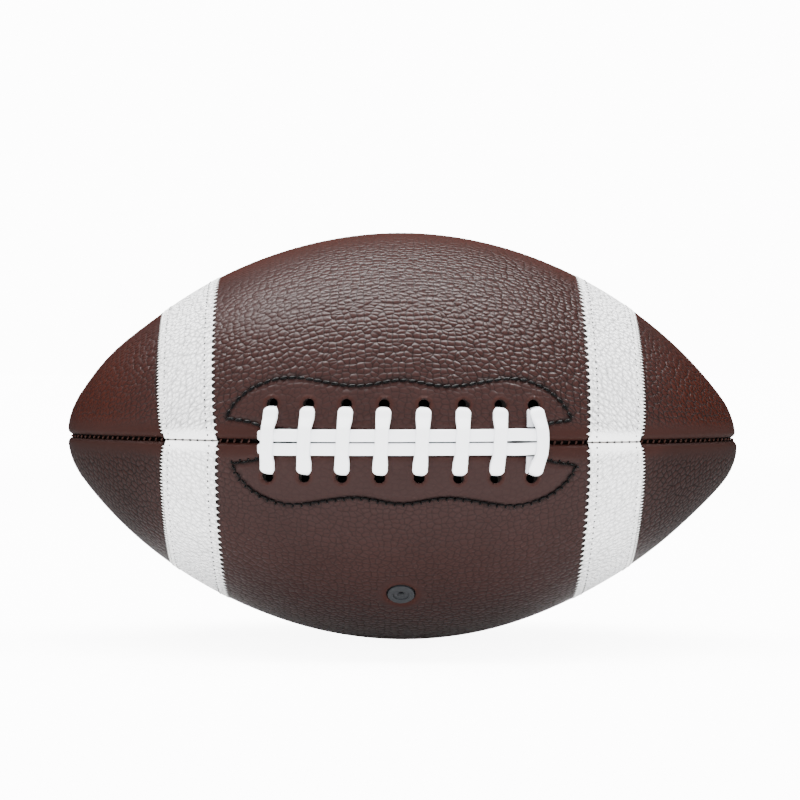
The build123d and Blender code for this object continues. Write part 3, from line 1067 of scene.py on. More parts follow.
@dataclass
class Panel:
    """One leather panel: its outline, rolled edges, punched holes and grain."""

    side: Side
    form: BallForm
    sizes: Sizes

    FINE_STEP = 0.6
    EDGE_STEP = 0.9
    REAR_STEP = 1.5
    COARSE_STEP = 2.0
    ROW_STOPS = (62.0, 71.0, 106.0)
    NOSE_ROWS = 14.0
    NEAR_SEAM = (0.02, 0.45, 0.5, 0.62, 0.82, 1.12, 1.5, 2.0, 2.6, 3.3)
    FINE_FROM = 3.9
    FINE_TO = 26.0
    NOSE_SHARE = 0.36
    PATTERN_APART = 400.0
    BAND_SHIFTS = {(-1, Side.FRONT_UPPER): (0.5, 0.03), (-1, Side.FRONT_LOWER): (-0.8, -0.03),
                   (1, Side.FRONT_UPPER): (0.0, -0.035), (1, Side.FRONT_LOWER): (0.0, -0.045)}

    def __post_init__(self) -> None:
        """Runs the waved outline and notes whether the panel lies above the lace."""
        self.wave = WavedOutline(self.sizes.lace, self.side)
        self.over_lace = self.side is Side.FRONT_UPPER

    def arcs(self) -> Array:
        """Spreads the rows, closer together at the lace, the bands and the noses.

        Returns:
            distances along the outline.
        """
        end = self.form.half_arc
        stops = [0.0, *self.ROW_STOPS, end - self.NOSE_ROWS, end]
        steps = [self.FINE_STEP, self.COARSE_STEP, self.EDGE_STEP, self.COARSE_STEP, self.EDGE_STEP]
        if not self.side.faces_front:
            stops, steps = [0.0, end - self.NOSE_ROWS, end], [self.REAR_STEP, self.EDGE_STEP]
        half = [np.linspace(low, high, int((high - low) / step), endpoint=False)
                for low, high, step in zip(stops, stops[1:], steps)]
        run = np.concatenate(half + [np.array([end])])
        return np.concatenate([-run[:0:-1], run])

    def turns(self, out: Array) -> Array:
        """Spreads the columns of every row.

        Args:
            out: distance of each row from the axis.

        Returns:
            turns within the panel, a row for each row of the panel.
        """
        near = np.array(self.NEAR_SEAM)
        widest = self.form.sizes.radius
        start, fine = near[-1] / widest, np.array([])
        if self.side.faces_front:
            fine = np.arange(self.FINE_FROM, self.FINE_TO, self.FINE_STEP) / widest
            start = fine[-1]
        stop = QUARTER - self.FINE_FROM / widest
        rest = np.linspace(start, stop, int((stop - start) * widest / self.COARSE_STEP))[1:]
        middle = np.concatenate([fine, rest])
        if self.side is Side.FRONT_LOWER:
            middle = QUARTER - middle[::-1]
        room = np.maximum(out, TINY)[:, None]
        scale = np.minimum(1.0, room * self.NOSE_SHARE / near[-1])
        first = np.arcsin(np.clip(near[None, :] * scale / room, 0, 1))
        share = (middle - middle[0]) / (middle[-1] - middle[0])
        low = first[:, -1:] + (first[:, -1:] - first[:, -2:-1])
        inner = low + share[None, :] * (QUARTER - 2 * low)
        return np.concatenate([first, inner, QUARTER - first[:, ::-1]], axis=1)

    def hole_places(self) -> list[Span]:
        """Finds the lace holes.

        Returns:
            place along X and distance from the seam of each.
        """
        lace, sign = self.sizes.lace, self.side.sign
        offset = lace.hole_offset + lace.rise * sign
        return [(place + sign / 2 * lean, offset) for place, lean in zip(lace.places, lace.leans())]

    def valve_place(self) -> Array:
        """Returns: the middle of the valve's opening on the surface."""
        turn = math.radians(self.sizes.valve.turn)
        return np.array([0.0, -math.cos(turn), -math.sin(turn)]) * self.form.sizes.radius

    def band_edges(self, way: int, across: Array) -> tuple[Array, Array]:
        """Finds the two edges of a white band.

        Args:
            way: -1 for the left band, 1 for the right one.
            across: distances from the laced seam.

        Returns:
            places along X of the edge near the lace and of the edge near the nose, without the sign.
        """
        sizes = self.sizes.band
        shift, lean = self.BAND_SHIFTS[way, self.side]
        shift = shift + lean * (across - sizes.lean_from)
        fade = np.exp(-across / sizes.flare_reach)
        return sizes.inner + shift - sizes.inner_flare * fade, sizes.outer + shift - sizes.outer_flare * fade

    def build(self) -> Piece:
        """Models the panel.

        Returns:
            the finished piece, without a material.
        """
        arc_line = self.arcs()
        along_line, out_line, _, _ = self.form.at_arc(arc_line)
        turn = self.turns(out_line)
        arc = np.broadcast_to(arc_line[:, None], turn.shape)
        along = np.broadcast_to(along_line[:, None], turn.shape)
        out = out_line[:, None]
        skin = self.surface(arc, along, out, turn)
        piece = Bench.shaped_grid(f"{self.side.label}_leather",
                                  self.form.place(arc, turn + self.side.start, skin.height))
        layers = {name: np.clip(getattr(skin, name), 0, 1).ravel() for name in ("grain", "edge", "shade")}
        Bench.store(piece, flat=self.pattern_place(arc, out, turn), **layers)
        Bench.face_out(piece)
        Bench.weld(piece)
        if self.side.faces_front:
            for place, offset in self.hole_places():
                centre = self.form.on_front(place, offset * self.side.sign, 0.0)
                Bench.punch(piece, centre, self.sizes.lace.hole_radius)
        if self.side is Side.FRONT_LOWER:
            Bench.punch(piece, self.valve_place(), self.sizes.valve.cut)
        Bench.thicken(piece, self.sizes.wear.wall)
        return piece

    def pattern_place(self, arc: Array, out: Array, turn: Array) -> Array:
        """Returns: rows of places on the flat pattern, where the panels lie apart."""
        return flat_pattern(arc, out * (turn - math.pi / 4) + self.PATTERN_APART * self.side.number)

    def surface(self, arc: Array, along: Array, out: Array, turn: Array) -> Skin:
        """Shapes the surface from seam to seam.

        Args:
            arc: distances along the outline.
            along: places along X.
            out: distances from the axis.
            turn: turns within the panel.

        Returns:
            height, grain, redder colour of rubbed edges and of painted top light, and painted shade of the
            surface.
        """
        seam, wear, upper = self.sizes.seam, self.sizes.wear, self.side.sign > 0
        first, second = out * np.sin(turn), out * np.cos(turn)
        near = np.minimum(first, second)
        height = rolled_edges(first, second, seam.roll, seam.gap, seam.crest)
        ripple = np.sin(2 * math.pi * arc / seam.pitch)
        height = height + seam.pucker * ripple * bell(near, seam.pucker_middle, seam.pucker_reach)
        end = self.form.half_arc
        nose = smooth_step(end - seam.nose_fill_from, end - seam.nose_fill_full, np.abs(arc))
        height = np.maximum(height, seam.crest - seam.roll + seam.nose_fill * nose)
        tip = smooth_step(*wear.tip_span, np.abs(along))
        grain = smooth_step(*wear.grain_span, near) * (1 - tip * np.where(along < 0, wear.left_tip_loss, 0.0))
        rubbed, shade = 1 - smooth_step(*wear.edge_span, near), 1 - smooth_step(*wear.gap_span, near)
        skin = Skin(height, grain, rubbed, shade)
        skin.rub(tip * (wear.tip_upper if upper else wear.tip_lower))
        # Upper panels: towards the top seam the grain smooths, and the colour turns redder as painted top
        # light.
        if upper:
            rounding = np.maximum(out, TINY) / self.form.sizes.radius
            from_top = (second if self.over_lace else first) / rounding
            smooth_top_painted_light = 1 - smooth_step(*wear.stretch_span, from_top)
            skin.rub(smooth_top_painted_light)
            calm = wear.calm_side + (1 - wear.calm_side) * smooth_step(*wear.calm_side_span, along)
            skin.grain = skin.grain * (1 - wear.stretch_loss * smooth_top_painted_light) * calm
        if self.side.faces_front:
            across = first if self.over_lace else second
            self.shape_outline(skin, along, across)
            self.shape_holes(skin, along, across)
        return skin

    def shape_outline(self, skin: Skin, along: Array, across: Array) -> None:
        """Presses the waved outline into a front panel and calms the grain round it.

        Args:
            skin: surface of the panel, which is changed.
            along: places along X.
            across: distances from the laced seam.
        """
        wear, lace, upper = self.sizes.wear, self.sizes.lace, self.over_lace
        skin.darken(wear.laced_shade * (1 - smooth_step(*wear.edge_span, across)))
        gap, inside = self.wave.away(along, across), self.wave.inside(along, across)
        padded = smooth_step(*lace.pad_inside_span, inside) * smooth_step(*lace.pad_line_span, gap)
        skin.height = skin.height - lace.channel * bell(gap, 0.0, lace.channel_reach) + lace.pad * padded
        skin.darken(lace.channel_shade * bell(gap, 0.0, lace.channel_shade_reach))
        from_middle = np.abs(along)
        calm = smooth_step(*lace.calm_inside_span, inside) * smooth_step(*lace.calm_end_span, from_middle)
        skin.grain = skin.grain * (1 - (wear.outline_calm_upper if upper else wear.outline_calm_lower) * calm)
        if upper:
            left = 1 - smooth_step(*wear.left_calm_span, along)
            skin.grain = skin.grain * (1 - wear.left_calm * left * smooth_step(*wear.left_calm_rise, across))
        else:
            tip = smooth_step(*wear.lower_tip_grain_span, from_middle)
            skin.grain = skin.grain * (wear.lower_grain + wear.lower_tip_grain * tip)
            skin.darken(wear.lower_tip_shade * smooth_step(*wear.lower_tip_shade_span, from_middle))

    def shape_holes(self, skin: Skin, along: Array, across: Array) -> None:
        """Raises the leather round the lace holes and sinks it where the bands are let in.

        Args:
            skin: surface of the panel, which is changed.
            along: places along X.
            across: distances from the laced seam.
        """
        lace, band = self.sizes.lace, self.sizes.band
        for place, offset in self.hole_places():
            away = np.hypot(along - place, across - offset)
            from_rim = away - lace.hole_radius
            rim, second_rim, lip = (bell(from_rim, *at)
                                    for at in (lace.rim_at, lace.second_rim_at, lace.lip_at))
            skin.height = skin.height + lace.rim * (rim + lace.second_rim * second_rim) - lace.lip * lip
            skin.grain = skin.grain * (1 - np.exp(-((away / lace.hole_calm) ** lace.hole_calm_power)))
            # Painted highlight: the crest of the rim gets the redder edge colour.
            skin.rub(lace.rim_painted_highlight * rim)
            skin.darken(lace.lip_shade * lip)
        for way in (-1, 1):
            inner, outer = self.band_edges(way, across)
            depth = np.minimum(way * along - inner, outer - way * along)
            skin.height = skin.height - band.sunk * smooth_step(*band.sunk_span, depth)
            skin.darken(smooth_step(*band.gap_span, depth))

    def valve_lip(self) -> Piece:
        """Models the rounded lip of leather round the valve's opening.

        Returns:
            the finished piece, without a material.
        """
        valve = self.sizes.valve
        profile = spline(np.array(valve.lip_profile), valve.lip_step)
        angle = np.linspace(0, 2 * math.pi, valve.lip_points)[None, :]
        reach = valve.radius + profile[:, :1]
        along = reach * np.cos(angle)
        arc = self.form.arc_of(along)
        turn = QUARTER - math.radians(valve.turn) + reach * np.sin(angle) / self.form.sizes.radius
        height = np.broadcast_to(profile[:, 1:], arc.shape)
        piece = Bench.shaped_grid("valve_lip", self.form.place(arc, turn + self.side.start, height))
        away = np.broadcast_to(profile[:, :1], arc.shape).ravel()
        above = np.broadcast_to(smooth_step(*valve.above_span, np.sin(angle)), arc.shape).ravel()
        shade_from, shade_to = valve.shade_span
        shade = 1 - smooth_step(shade_from, shade_to + valve.shade_wider * above, away)
        Bench.store(piece, flat=self.pattern_place(arc, self.form.radius_at(along), turn),
                    grain=valve.grain * smooth_step(*valve.grain_span, away),
                    edge=valve.edge * (1 - smooth_step(*valve.edge_span, away)),
                    shade=shade * (valve.shade_below + (1 - valve.shade_below) * above))
        Bench.weld(piece)
        Bench.face_out(piece)
        return piece


@dataclass
class Band:
    """One white band, sewn into a front panel between two rows of zigzag stitches."""

    panel: Panel
    way: int

    EDGE_SHARES = (0.0, 0.004, 0.012, 0.025, 0.045)
    INNER_SHARES = (0.08, 0.92, 26)
    NEAR_SEAM = (0.08, 0.1, 0.16, 0.27, 0.45, 0.7, 1.0)
    COLUMNS_FROM = 1.8
    COLUMNS = 84
    PATTERN_WAY = 30.0
    PATTERN_APART = 200.0
    GRAIN_SPAN = (1.0, 6.0)
    LOWER_GRAIN = 0.8
    SHADE_SPAN = (0.12, 0.4)

    def __post_init__(self) -> None:
        """Takes the ball's form and the band's sizes from the panel, and names the band."""
        self.form, self.sizes, self.side = self.panel.form, self.panel.sizes.band, self.panel.side
        self.label = f"{'left' if self.way < 0 else 'right'}_{self.side.row}"

    def build(self) -> Piece:
        """Models the band.

        Returns:
            the finished piece, without a material.
        """
        sizes, over_lace = self.sizes, self.panel.over_lace
        ends = np.array(self.EDGE_SHARES)
        share = np.concatenate([ends, np.linspace(*self.INNER_SHARES), 1 - ends[::-1]])
        widest = float(self.form.at_arc(self.form.arc_of((sizes.inner + sizes.outer) / 2))[1])
        first = np.arcsin(np.array(self.NEAR_SEAM) / widest)
        clear = self.COLUMNS_FROM / widest
        inner = np.linspace(clear, QUARTER - clear, self.COLUMNS)
        columns = np.concatenate([first, inner, QUARTER - first[::-1]])
        turn = np.broadcast_to(columns[None, :], (len(share), len(columns)))
        across = widest * (np.sin(turn) if over_lace else np.cos(turn))
        low, high = self.panel.band_edges(self.way, across)
        along = self.way * (low + share[:, None] * (high - low))
        arc, out = self.form.arc_of(along), self.form.radius_at(along)
        height = rolled_edges(out * np.sin(turn), out * np.cos(turn), sizes.roll, sizes.roll_gap, 0.0)
        away = np.minimum(share, 1 - share)[:, None] * (high - low)
        height = height + sizes.proud - sizes.lip * np.clip(1 - away / sizes.lip, 0, 1) ** 2
        piece = Bench.shaped_grid(f"{self.label}_band", self.form.place(arc, turn + self.side.start, height))
        offset = self.PATTERN_WAY * self.way + self.PATTERN_APART * self.side.number
        grain = smooth_step(*self.GRAIN_SPAN, across) * (1.0 if over_lace else self.LOWER_GRAIN)
        Bench.store(piece, flat=flat_pattern(arc, out * (turn - math.pi / 4) + offset), grain=grain.ravel(),
                    edge=np.zeros(arc.size), shade=1 - smooth_step(*self.SHADE_SPAN, across.ravel()))
        Bench.face_out(piece)
        Bench.thicken(piece, sizes.wall)
        return piece

    def edge_point(self, edge: Edge, run: float, reach: float, level: float) -> tuple[Array, Array]:
        """Finds a point beside one of the band's edges.

        Args:
            edge: which edge.
            run: distance along the edge from the laced seam.
            reach: distance out of the band, negative on the band.
            level: height above the leather.

        Returns:
            the point and the direction out of the surface there.
        """
        out = self.edge_radius(edge)
        turn = run / out
        low, high = self.panel.band_edges(self.way, np.array(out * math.sin(turn)))
        along = self.way * float(low - reach if edge is Edge.INNER else high + reach)
        inside = turn if self.panel.over_lace else QUARTER - turn
        return self.form.upright(self.form.arc_of(along), inside + self.side.start, level)

    def edge_radius(self, edge: Edge) -> float:
        """Returns: the ball's radius at one of the band's edges."""
        return float(self.form.radius_at(self.sizes.inner if edge is Edge.INNER else self.sizes.outer))

    def stitches(self, edge: Edge) -> tuple[list[Matrix], list[Matrix], list[Matrix]]:
        """Places the zigzag stitches of one edge and the dark beads of painted shade in its needle holes.

        Args:
            edge: which edge.

        Returns:
            placements of the strokes on the band, of the points on the leather and of the dark beads of
            painted shade in the needle holes.
        """
        sizes, inner = self.sizes, edge is Edge.INNER
        pitch = sizes.stitch_pitch if inner else sizes.stitch_pitch / 2
        hem, tooth = (sizes.inner_hem, sizes.inner_tooth) if inner else (sizes.outer_hem, sizes.outer_tooth)
        base = sizes.tooth_base * pitch / sizes.stitch_pitch
        hole_size = sizes.needle_hole if inner else sizes.faint_hole
        end = self.edge_radius(edge) * QUARTER - sizes.stitch_margin
        strokes, teeth, holes = [], [], []
        for count, run in enumerate(np.arange(sizes.stitch_margin, end, pitch)):
            over = run + sizes.stitch_slant * pitch
            hole, up = self.edge_point(edge, run, -hem, sizes.proud)
            root, _ = self.edge_point(edge, over, -sizes.stitch_root, 0.0)
            tip, _ = self.edge_point(edge, over, tooth, 0.0)
            strokes.append(stitch_place(hole, root, up, sizes.thread, sizes.thread))
            teeth.append(stitch_place(root, tip, up, base, sizes.tooth_lift))
            if inner or count % 2 == 0:
                reach = np.array([hole_size, 0.0, 0.0])
                holes.append(stitch_place(hole - reach, hole + reach, up, hole_size, sizes.hole_lift))
        return strokes, teeth, holes

    def seam_dots(self) -> list[Matrix]:
        """Places the dark stitches that show in the seam between the upper and the lower band.

        Returns:
            placements, empty for a lower band.
        """
        places: list[Matrix] = []
        if not self.panel.over_lace:
            return places
        length, width, lift = self.sizes.seam_dot
        reach = np.array([length, 0.0, 0.0])
        low, high = self.panel.band_edges(self.way, np.array(0.0))
        start, pitch = float(low) + self.sizes.seam_dot_from, self.panel.sizes.seam.pitch
        for along in np.arange(start, float(high), pitch):
            point, up = self.form.upright(self.form.arc_of(self.way * along), 0.0, 0.0)
            places.append(stitch_place(point - reach, point + reach, up, width, lift))
        return places


@dataclass
class SeamThread:
    """A row of stitches in a seam's groove, at a turn in degrees, from start to stop along the outline."""

    form: BallForm
    seam: SeamSizes
    label: str
    turn: float
    start: float
    stop: float

    def build(self) -> Piece:
        """Models the row.

        Returns:
            the finished piece, without a material.
        """
        seam, places = self.seam, []
        slant = np.array([seam.thread_slant, 0.0, 0.0])
        count = int((self.stop - self.start) / seam.pitch)
        for mark in np.linspace(self.start, self.stop, count + 1):
            middle, up = self.form.upright(mark, math.radians(self.turn), -seam.thread_depth)
            across = np.cross(up, [1.0, 0.0, 0.0]) * seam.thread_reach + slant
            places.append(stitch_place(middle - across, middle + across, up, seam.thread, seam.thread))
        return Bench.repeated(f"seam_{self.label}_stitches", Bench.bead(), places)


@dataclass
class WaveThread:
    """The waved row of black stitches in one front panel."""

    panel: Panel

    def build(self) -> Piece:
        """Models the row, twisted in the upper panel and with small ticks in the lower one.

        Returns:
            the finished piece, without a material.
        """
        lace, twisted = self.panel.sizes.lace, self.panel.over_lace
        radius, twist = (lace.stitch_radius, lace.stitch_twist) if twisted else (lace.thin_radius, 0.0)
        places: list[Matrix] = []
        for line in (self.panel.wave.wave, self.panel.wave.edge):
            run = np.concatenate([[0.0], np.cumsum(np.linalg.norm(np.diff(line, axis=0), axis=1))])
            marks = np.linspace(0, run[-1], int(run[-1] / lace.stitch) + 1)
            corners = np.stack([np.interp(marks, run, line[:, axis]) for axis in (0, 1)], axis=1)
            for start, stop in zip(corners, corners[1:]):
                slack = (1 - lace.stitch_share) / 2 * (stop - start)
                way = (stop - start) / np.linalg.norm(stop - start)
                outward = np.array([-way[1], way[0]])
                inset = slack - twist * outward
                places.append(self.stitch(start + inset, stop - inset, radius))
                if not twisted:
                    places.append(self.stitch(stop, stop + lace.tick * outward, radius))
        return Bench.repeated(f"{self.panel.side.row}_wave_stitches", Bench.bead(), places)

    def stitch(self, first: Array, last: Array, radius: float) -> Matrix:
        """Places one stitch.

        Args:
            first: place along X and distance from the seam of its start.
            last: place along X and distance from the seam of its end.
            radius: half its thickness.

        Returns:
            its placement.
        """
        form, sign, level = self.panel.form, self.panel.side.sign, -self.panel.sizes.lace.stitch_depth
        start = form.on_front(first[0], first[1] * sign, level)
        stop = form.on_front(last[0], last[1] * sign, level)
        up = form.on_front(first[0], first[1] * sign, level + 1.0) - start
        return stitch_place(start, stop, up, radius, radius)


@dataclass
class Lace:
    """The lace: two strands along the slit and eight bars whipped over them."""

    form: BallForm
    sizes: LaceSizes

    SECTION_POINTS = 24
    SECTION_POWER = 3.4
    BAR = ((0.0, 1.0), (0.17, 1.0), (0.32, 0.97), (0.47, 0.66), (0.60, 0.40), (0.72, 0.32), (0.80, 0.27),
           (0.85, 0.08), (0.88, -0.35), (0.89, -0.85), (0.89, -1.35))
    BAR_WIDTHS_AT = (0.3, 0.6, 0.8, 0.88)
    BAR_STEP = 0.45
    END_ROLL_SPAN = (0.85, 0.45)
    FOLD_LEVELS = (0.0, 0.5, 0.75, 0.95, 1.15, 1.25)
    FOLD_START = 0.87
    FOLD_CLEAR = 0.6
    FOLD_ROLL = 0.45
    FOLD_STEP = 0.5
    FOLD_THICKNESS = 1.3
    FOLD_LEFT = 0.47
    FOLD_SPREAD = 0.9
    FOLD_RIGHT = 0.3
    FOLD_OVERLAP = 1.05
    FOLD_LEAST = 1.2
    STRAND_STEP = 0.8
    STRAND_BEFORE = 4.1
    STRAND_AFTER = 3.4
    STRAND_GAP = 0.1
    STRAND_ENTRY = ((0.6, -4.2), (0.0, -2.2), (0.1, -0.2), (1.6, 0.95))
    STRAND_LIES_FROM = 4.0
    STRAND_SETTLES = 8.0
    STRAND_OPENS = 7.0
    STRAND_DIPS = 3.0
    STRAND_NARROWS = 0.9
    STRAND_TUCK = 0.3
    FIRST_OPENING = (0.1, 5.0, 6.0)
    LAST_OPENING = (0.2, -7.0, 5.0)

    def sweep(self, name: str, stations: Array, roll: Array | float = 0.0) -> Piece:
        """Sweeps the lace's cross-section along a route on the surface.

        Args:
            name: name of the piece.
            stations: rows of place along X, distance from the seam, height, width and thickness.
            roll: turn in radians of the cross-section at each station, lifting its left edge.

        Returns:
            the new piece.
        """
        along, above, height, widths, thickness = stations.T
        path = self.form.on_front(along, above, height)
        normal = self.form.on_front(along, above, height + 1.0) - path
        way = np.gradient(path, axis=0)
        way /= np.linalg.norm(way, axis=1)[:, None]
        side = np.cross(way, normal)
        side /= np.linalg.norm(side, axis=1)[:, None]
        top = np.cross(side, way)
        angle = np.linspace(0, 2 * math.pi, self.SECTION_POINTS + 1)
        flat, deep = (np.sign(part) * np.abs(part) ** (2 / self.SECTION_POWER)
                      for part in (np.cos(angle), np.sin(angle)))
        across, out = flat * widths[:, None] / 2, deep * thickness[:, None] / 2
        turn = np.broadcast_to(roll, len(stations))[:, None]
        across, out = across * np.cos(turn) + out * np.sin(turn), out * np.cos(turn) - across * np.sin(turn)
        points = path[:, None, :] + across[..., None] * side[:, None, :] + out[..., None] * top[:, None, :]
        caps = [np.repeat(end[:, None, :], points.shape[1], axis=1) for end in (path[:1], path[-1:])]
        return Bench.shaped_grid(name, np.concatenate([caps[0], points, caps[1]]), joined=True)

    def bar(self, index: int) -> Piece:
        """Models one bar.

        Args:
            index: its number, counted from the left.

        Returns:
            the new piece.
        """
        sizes = self.sizes
        last = index == len(sizes.places) - 1
        widths = (sizes.width, sizes.shoulder, sizes.shoulder, sizes.pinch)
        rows = []
        for share, level in [(-share, level) for share, level in self.BAR[::-1]] + list(self.BAR[1:]):
            bow = sizes.end_bow * (1 - share**2) if last else 0.0
            along = sizes.places[index] + sizes.leans()[index] / 2 * share + bow
            width = float(np.interp(abs(share), self.BAR_WIDTHS_AT, widths))
            across = share * sizes.hole_offset + sizes.rise
            rows.append((along, across, level * sizes.crossing, width, sizes.thickness))
        stations = spline(np.array(rows), self.BAR_STEP)
        share = np.abs(stations[:, 1] - sizes.rise) / sizes.hole_offset
        roll = sizes.end_roll * smooth_step(*self.END_ROLL_SPAN, share) if last else 0.0
        return self.sweep(f"lace_bar_{index + 1}", stations, roll)

    def fold(self, sign: int) -> Piece:
        """Models the slanted side that the last bar shows where it is pulled over to the right.

        Args:
            sign: 1 above the strands, -1 below them.

        Returns:
            the new piece.
        """
        sizes = self.sizes
        strand = sizes.upper_strand if sign > 0 else sizes.lower_strand
        beside = strand + sign * sizes.strand_climb + sizes.strand_width / 2 + self.FOLD_CLEAR
        start, stop = self.FOLD_START, (beside - sign * sizes.rise) / sizes.hole_offset
        rows = []
        for share, level in zip(np.linspace(start, stop, len(self.FOLD_LEVELS)), self.FOLD_LEVELS):
            place = sizes.places[-1] + sign * sizes.last_lean / 2 * share
            left = place - self.FOLD_LEFT * sizes.shoulder - self.FOLD_SPREAD * (start - share)
            right = place + sizes.end_bow * (1 - share**2) - self.FOLD_RIGHT * sizes.width
            width = self.FOLD_OVERLAP * max(right - left, self.FOLD_LEAST)
            across = sign * share * sizes.hole_offset + sizes.rise
            rows.append(((left + right) / 2, across, level, width, self.FOLD_THICKNESS))
        return self.sweep("lace_fold", spline(np.array(rows), self.FOLD_STEP), -self.FOLD_ROLL * sign)

    def strand(self, sign: int) -> Piece:
        """Models one strand, which comes out of the slit at the left and lies under the bars.

        Args:
            sign: 1 for the upper strand, -1 for the lower one.

        Returns:
            the new piece.
        """
        sizes, places = self.sizes, self.sizes.places
        lying = sizes.thickness / 2 + self.STRAND_GAP
        offset = sizes.upper_strand if sign > 0 else -sizes.lower_strand
        start, stop = places[0] - self.STRAND_BEFORE, places[-1] + self.STRAND_AFTER
        lies_from = start + self.STRAND_LIES_FROM
        knots = [(start + shift, height) for shift, height in self.STRAND_ENTRY]
        knots += [(along, lying) for along in (
            lies_from, places[0] + self.STRAND_SETTLES, places[1], places[3], places[5], places[6],
            places[-1] - self.STRAND_OPENS, stop - self.STRAND_DIPS)]
        knots.append((stop, lying - self.STRAND_TUCK))
        rows = []
        for along, height in knots:
            opening = sum(wide * float(bell(along, place + shift, reach)) for place, (wide, shift, reach)
                          in ((places[-1], self.LAST_OPENING), (places[0], self.FIRST_OPENING)))
            climb = sizes.strand_climb * (along - start) / (stop - start)
            width = sizes.strand_width - self.STRAND_NARROWS * float(smooth_step(lies_from, start, along))
            rows.append((along, offset + climb + sign * opening, height, width, sizes.thickness))
        return self.sweep("lace_strand", spline(np.array(rows), self.STRAND_STEP))


@dataclass(frozen=True)
class Softbox:
    """An area light that faces the ball, with its place and size in metres and its power in watts."""

    name: str
    place: Triple
    size: Span
    power: float
    mirrored: bool = True

    def build(self) -> None:
        """Adds the light, which shows in reflections only where it is mirrored."""
        lamp = bpy.data.lights.new(self.name, "AREA")
        lamp.shape = "RECTANGLE"
        lamp.size, lamp.size_y = self.size
        lamp.energy = self.power
        light = bpy.data.objects.new(self.name, lamp)
        light.location = self.place
        light.visible_glossy = self.mirrored
        light.rotation_euler = (-Vector(self.place)).to_track_quat("-Z", "Y").to_euler()
        bpy.context.scene.collection.objects.link(light)


@dataclass
class Studio:
    """Floor, light and camera, with the height of the floor in metres."""

    floor_level: float

    LIGHTS = (Softbox("key_light", (0.0, 0.04, 1.3), (2.0, 0.22), 52.0),
              Softbox("top_light", (0.0, 0.45, 1.2), (1.8, 0.8), 42.0, mirrored=False),
              Softbox("front_fill", (0.0, -2.0, 0.5), (1.6, 1.2), 45.0, mirrored=False))
    FLOOR_SIZE = 30.0
    SKY = (2.0, 13.0, 0.02)
    FLOOR_TONE = (0.9, 0.9, 0.14)
    MIRRORED_ONLY = (0.0, 0.0, 1.0)
    SEEN_ONLY = (0.0, 1.0, 0.0)
    SHEEN_BEHIND = 0.06
    SHEEN_SPAN = (0.07, 0.16)
    SHEEN = (0.7, 0.0)
    GLOW_SPAN = (0.4, 2.4)
    GLOW = (8.0, 11.6)
    CAMERA_DISTANCE = 1.2
    CAMERA_HEIGHT = 0.034
    LENS = 128.0
    SENSOR = 36.0
    PITCH = -0.884
    ROLL = 0.3
    SHIFT_RIGHT = 0.0025

    def build(self, palette: Palette) -> None:
        """Sets the floor, the light and the camera.

        Args:
            palette: materials.
        """
        Bench.clear()
        bpy.ops.mesh.primitive_plane_add(size=self.FLOOR_SIZE)
        floor = bpy.context.object
        floor.name = "studio_floor"
        floor.data.transform(Matrix.Translation((0, 0, self.floor_level)))
        self.floor_finish(palette)
        floor.data.materials.append(palette.made["floor"])
        self.backdrop()
        for light in self.LIGHTS:
            light.build()
        self.camera()

    @staticmethod
    def by_ray(wiring: Wiring, usual: float, seen: float, mirrored: float) -> Socket:
        """Gives a value that depends on how the stage is looked at.

        Args:
            wiring: nodes to add to.
            usual: value for the light that the stage gives.
            seen: value for the camera.
            mirrored: value for reflections.

        Returns:
            the socket of the value.
        """
        path = wiring.add("LightPath", {})
        value: Value = usual
        for output, aim in (("Is Camera Ray", seen), ("Is Glossy Ray", mirrored)):
            value = wiring.scaled(path[output], aim - usual, value)
        return value

    def backdrop(self) -> None:
        """Sets a white surrounding that shows only faintly in reflections."""
        world = bpy.data.worlds.new("studio")
        world.use_nodes = True
        wiring = Wiring(world.node_tree)
        wiring.fill(world.node_tree.nodes["Background"],
                    {"Color": (1.0, 1.0, 1.0), "Strength": self.by_ray(wiring, *self.SKY)})
        bpy.context.scene.world = world

    def floor_finish(self, palette: Palette) -> None:
        """Builds the floor's white finish, which shows only faintly in reflections, except under the ball.

        Args:
            palette: materials, to which the finish is added.
        """
        wiring, shader = palette.start("floor")
        place = wiring.add("TexCoord", {})["Object"]
        under = wiring.add("VectorMath", {0: place, 1: (0.0, self.SHEEN_BEHIND, self.floor_level)},
                           operation="DISTANCE")["Value"]
        sheen = wiring.ranged(under, self.SHEEN_SPAN, self.SHEEN)
        tone = wiring.scaled(self.by_ray(wiring, *self.MIRRORED_ONLY), sheen,
                             self.by_ray(wiring, *self.FLOOR_TONE))
        colour = wiring.add("CombineColor", {part: tone for part in ("Red", "Green", "Blue")})["Color"]
        away = wiring.add("VectorMath", {0: place}, operation="LENGTH")["Value"]
        level = wiring.ranged(away, self.GLOW_SPAN, self.GLOW)
        glow = wiring.scaled(self.by_ray(wiring, *self.SEEN_ONLY), level)
        wiring.fill(shader, {"Base Color": colour, "Roughness": 1.0, "Specular IOR Level": 0.0,
                             "Emission Color": (1.0, 1.0, 1.0), "Emission Strength": glow})

    def camera(self) -> None:
        """Sets the camera as the photograph was taken, level with the ball and close to it."""
        lens = bpy.data.cameras.new("camera")
        lens.lens = self.LENS
        lens.sensor_width = self.SENSOR
        lens.shift_x = -self.SHIFT_RIGHT
        camera = bpy.data.objects.new("camera", lens)
        camera.location = (0.0, -self.CAMERA_DISTANCE, self.CAMERA_HEIGHT)
        pitch = Matrix.Rotation(math.radians(90 + self.PITCH), 4, "X")
        camera.rotation_euler = (pitch @ Matrix.Rotation(math.radians(self.ROLL), 4, "Z")).to_euler()
        bpy.context.scene.collection.objects.link(camera)
        bpy.context.scene.camera = camera


